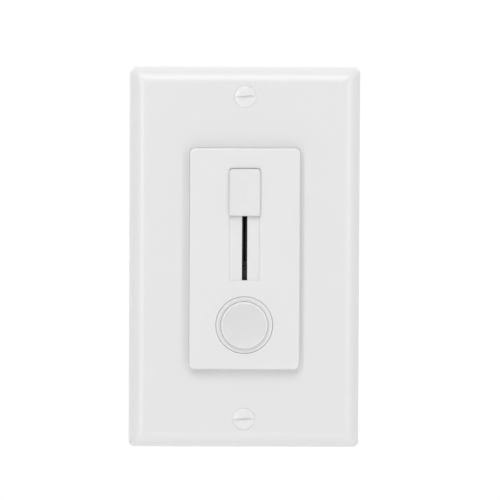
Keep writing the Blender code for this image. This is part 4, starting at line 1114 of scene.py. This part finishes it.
def make_choke_winding():
    """Turns of enamelled wire round the ring core, with a gap between the two ends."""
    core = Box("choke_core")
    inner, outer, half = 4.6, core.size.x / 2, core.size.y / 2
    radius, clear, gap, turns = 0.33, 0.06, 40, 38
    low, high, deep = inner - radius - clear, outer + radius + clear, half + radius + clear
    section = rectangle(high - low, 2 * deep, 0.9, ((high + low) / 2, 0), 3)
    points = []
    total = turns * len(section)
    for step in range(total + 1):
        turn = radians(gap / 2 + (360 - gap) * step / total)
        reach, depth = section[step % len(section)]
        points.append((reach * cos(turn), depth, reach * sin(turn)))
    return settle(wire("winding", points, radius), core.middle)


def make_button_spring():
    """A coil spring between the strap and the button's roof, its end turns closed."""
    node = Box("button_spring")
    radius, wire_radius, turns, steps = 4.0, 0.25, 5.5, 36
    low, high = node.high.y - wire_radius, node.low.y + wire_radius
    total = round(turns * steps)
    points = []
    for step in range(total + 1):
        share = min(max((step - steps / 2) / (total - steps), 0.0), 1.0)
        turn = 2 * pi * step / steps
        points.append((radius * cos(turn), low + (high - low) * share, radius * sin(turn)))
    return settle(wire("spring", points, wire_radius), (0, 0, BUTTON_HEIGHT))


def make_pieces():
    detailed(make_wall_plate(), "wall_plate")
    detailed(make_front_cover(), "front_cover")
    detailed(make_slider_cap(), "slider_cap")
    detailed(make_button_cap(), "button_cap")
    detailed(make_dust_seal(), "dust_seal")
    detailed(make_strap(), "mounting_strap", 0.12)
    detailed(make_rear_housing(), "rear_housing", 0.22)
    for name, side in (("top", 1), ("bottom", -1)):
        detailed(make_plate_screw(side), "plate_screw_" + name)
        detailed(make_box_screw(side), "box_screw_" + name)
        detailed(make_retainer(side), "screw_retainer_" + name)
    detailed(make_ground_screw(), "ground_screw")
    for number, place in enumerate(RIVETS, 1):
        rivet = make_rivet(STRAP.low.y - GAP, HOUSING.high.y + GAP, 1.35, 2.3)
        detailed(settle(rivet, (place.x, 0, place.z)), f"housing_rivet_{number}")
    for number, box in enumerate(TERMINALS, 1):
        detailed(make_bracket(box), f"terminal_bracket_{number}")
        detailed(make_clamp(box), f"terminal_plate_{number}")
        detailed(make_terminal_screw(box), f"terminal_screw_{number}")
    detailed(make_choke_winding(), "choke_winding")
    spring = detailed(make_button_spring(), "button_spring")
    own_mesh(spring)


def dress_packed_nodes():
    """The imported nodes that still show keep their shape, with rounded edges and their slot's material."""
    for name, obj in frame["nodes"].items():
        if obj.hide_render:
            continue
        obj.data.materials.clear()
        obj.data.materials.append(SLOT_MATERIALS[NODE_SLOTS[name]])
        shade(obj, 0.08, weld=True)


# Light, floor and camera

def direction(azimuth, elevation):
    """The unit vector towards a place round the switch: azimuth 0 is in front of it, 90 to its right."""
    across, up = radians(azimuth), radians(elevation)
    return Vector((sin(across) * cos(up), -cos(across) * cos(up), sin(up)))


def soft_box(name, azimuth, elevation, radiance, width, height):
    """A soft light that faces the switch. Sizes are in metres."""
    distance = 1.2
    light = bpy.data.lights.new(name, "AREA")
    light.shape = "RECTANGLE"
    light.size = width
    light.size_y = height
    light.energy = radiance * pi * width * height
    obj = bpy.data.objects.new(name, light)
    obj.location = direction(azimuth, elevation) * distance
    obj.rotation_mode = "QUATERNION"
    obj.rotation_quaternion = direction(azimuth, elevation).to_track_quat("Z", "Y")
    bpy.context.scene.collection.objects.link(obj)


def make_lights():
    soft_box("key", -6, 42, 4.3, 0.75, 0.6)
    soft_box("left_fill", -27, 6, 5.6, 0.2, 0.8)
    soft_box("right_fill", 37, 9, 5.6, 0.2, 0.8)
    soft_box("low_fill", 0, -28, 2.1, 0.7, 0.2)
    soft_box("back_right", 140, 35, 1.6, 0.4, 0.8)
    soft_box("back_left", 222, 25, 4.0, 0.3, 0.9)


def make_world():
    """A white studio: bright behind the switch and overhead, and dim in front and below.

    Its dim side lights the switch as a dark room would, but is drawn as a pale grey backdrop.
    """
    world = bpy.data.worlds.new("studio")
    world.use_nodes = True
    bpy.context.scene.world = world
    nodes, links = world.node_tree.nodes, world.node_tree.links
    background = nodes["Background"]
    towards = nodes.new("ShaderNodeVectorMath")
    towards.operation = "DOT_PRODUCT"
    towards.inputs[1].default_value = (0.0, 1.0, 0.45)
    links.new(nodes.new("ShaderNodeTexCoord").outputs["Generated"], towards.inputs[0])
    depth = nodes.new("ShaderNodeMapRange")
    links.new(towards.outputs["Value"], depth.inputs["Value"])
    for socket, value in (("From Min", -0.5), ("From Max", 0.1), ("To Max", 1.02)):
        depth.inputs[socket].default_value = value
    dim_side = nodes.new("ShaderNodeMapRange")
    dim_side.inputs["To Min"].default_value = 0.07
    dim_side.inputs["To Max"].default_value = 0.62
    links.new(nodes.new("ShaderNodeLightPath").outputs["Is Camera Ray"], dim_side.inputs["Value"])
    links.new(dim_side.outputs["Result"], depth.inputs["To Min"])
    links.new(depth.outputs["Result"], background.inputs["Strength"])
    background.inputs["Color"].default_value = (1, 1, 1, 1)


def make_floor():
    """A pale round floor, well below the switch."""
    radius, top, bottom = 3000.0, -520.0, -530.0
    floor = turned("floor", [(0, top), (radius, top), (radius, bottom), (0, bottom)], along="Z")
    finish = Finish("floor", (0.86, 0.86, 0.86), 0.8)
    finish.patches((0.84, 0.84, 0.84), 400.0, 3.0, 0.4, 0.7, 0.3)
    floor.data.materials.append(finish.bump(finish.noise(2.0, 3.0), 0.1, 0.2))


def make_camera():
    """A long lens, nearly level and square to the switch, that frames it a little low and to the left."""
    azimuth, elevation, roll, distance, frame_height = -1.0, 4.8, radians(-0.275), 2.5, 0.15
    back = direction(azimuth, elevation)
    tilt = Matrix.Rotation(-roll, 3, "Z").to_quaternion()
    target = Vector((1.76, 0.0, 1.98)) * MM
    camera = bpy.data.cameras.new("camera")
    camera.sensor_width = 36
    camera.lens = camera.sensor_width * distance / frame_height
    camera.clip_end = 20
    obj = bpy.data.objects.new("camera", camera)
    obj.location = target + back * distance
    obj.rotation_mode = "QUATERNION"
    obj.rotation_quaternion = (-back).to_track_quat("-Z", "Y") @ tilt
    bpy.context.scene.collection.objects.link(obj)
    bpy.context.scene.camera = obj


make_camera()
make_world()
make_floor()
make_lights()
make_pieces()
dress_packed_nodes()
bpy.context.scene.view_settings.view_transform = "Standard"
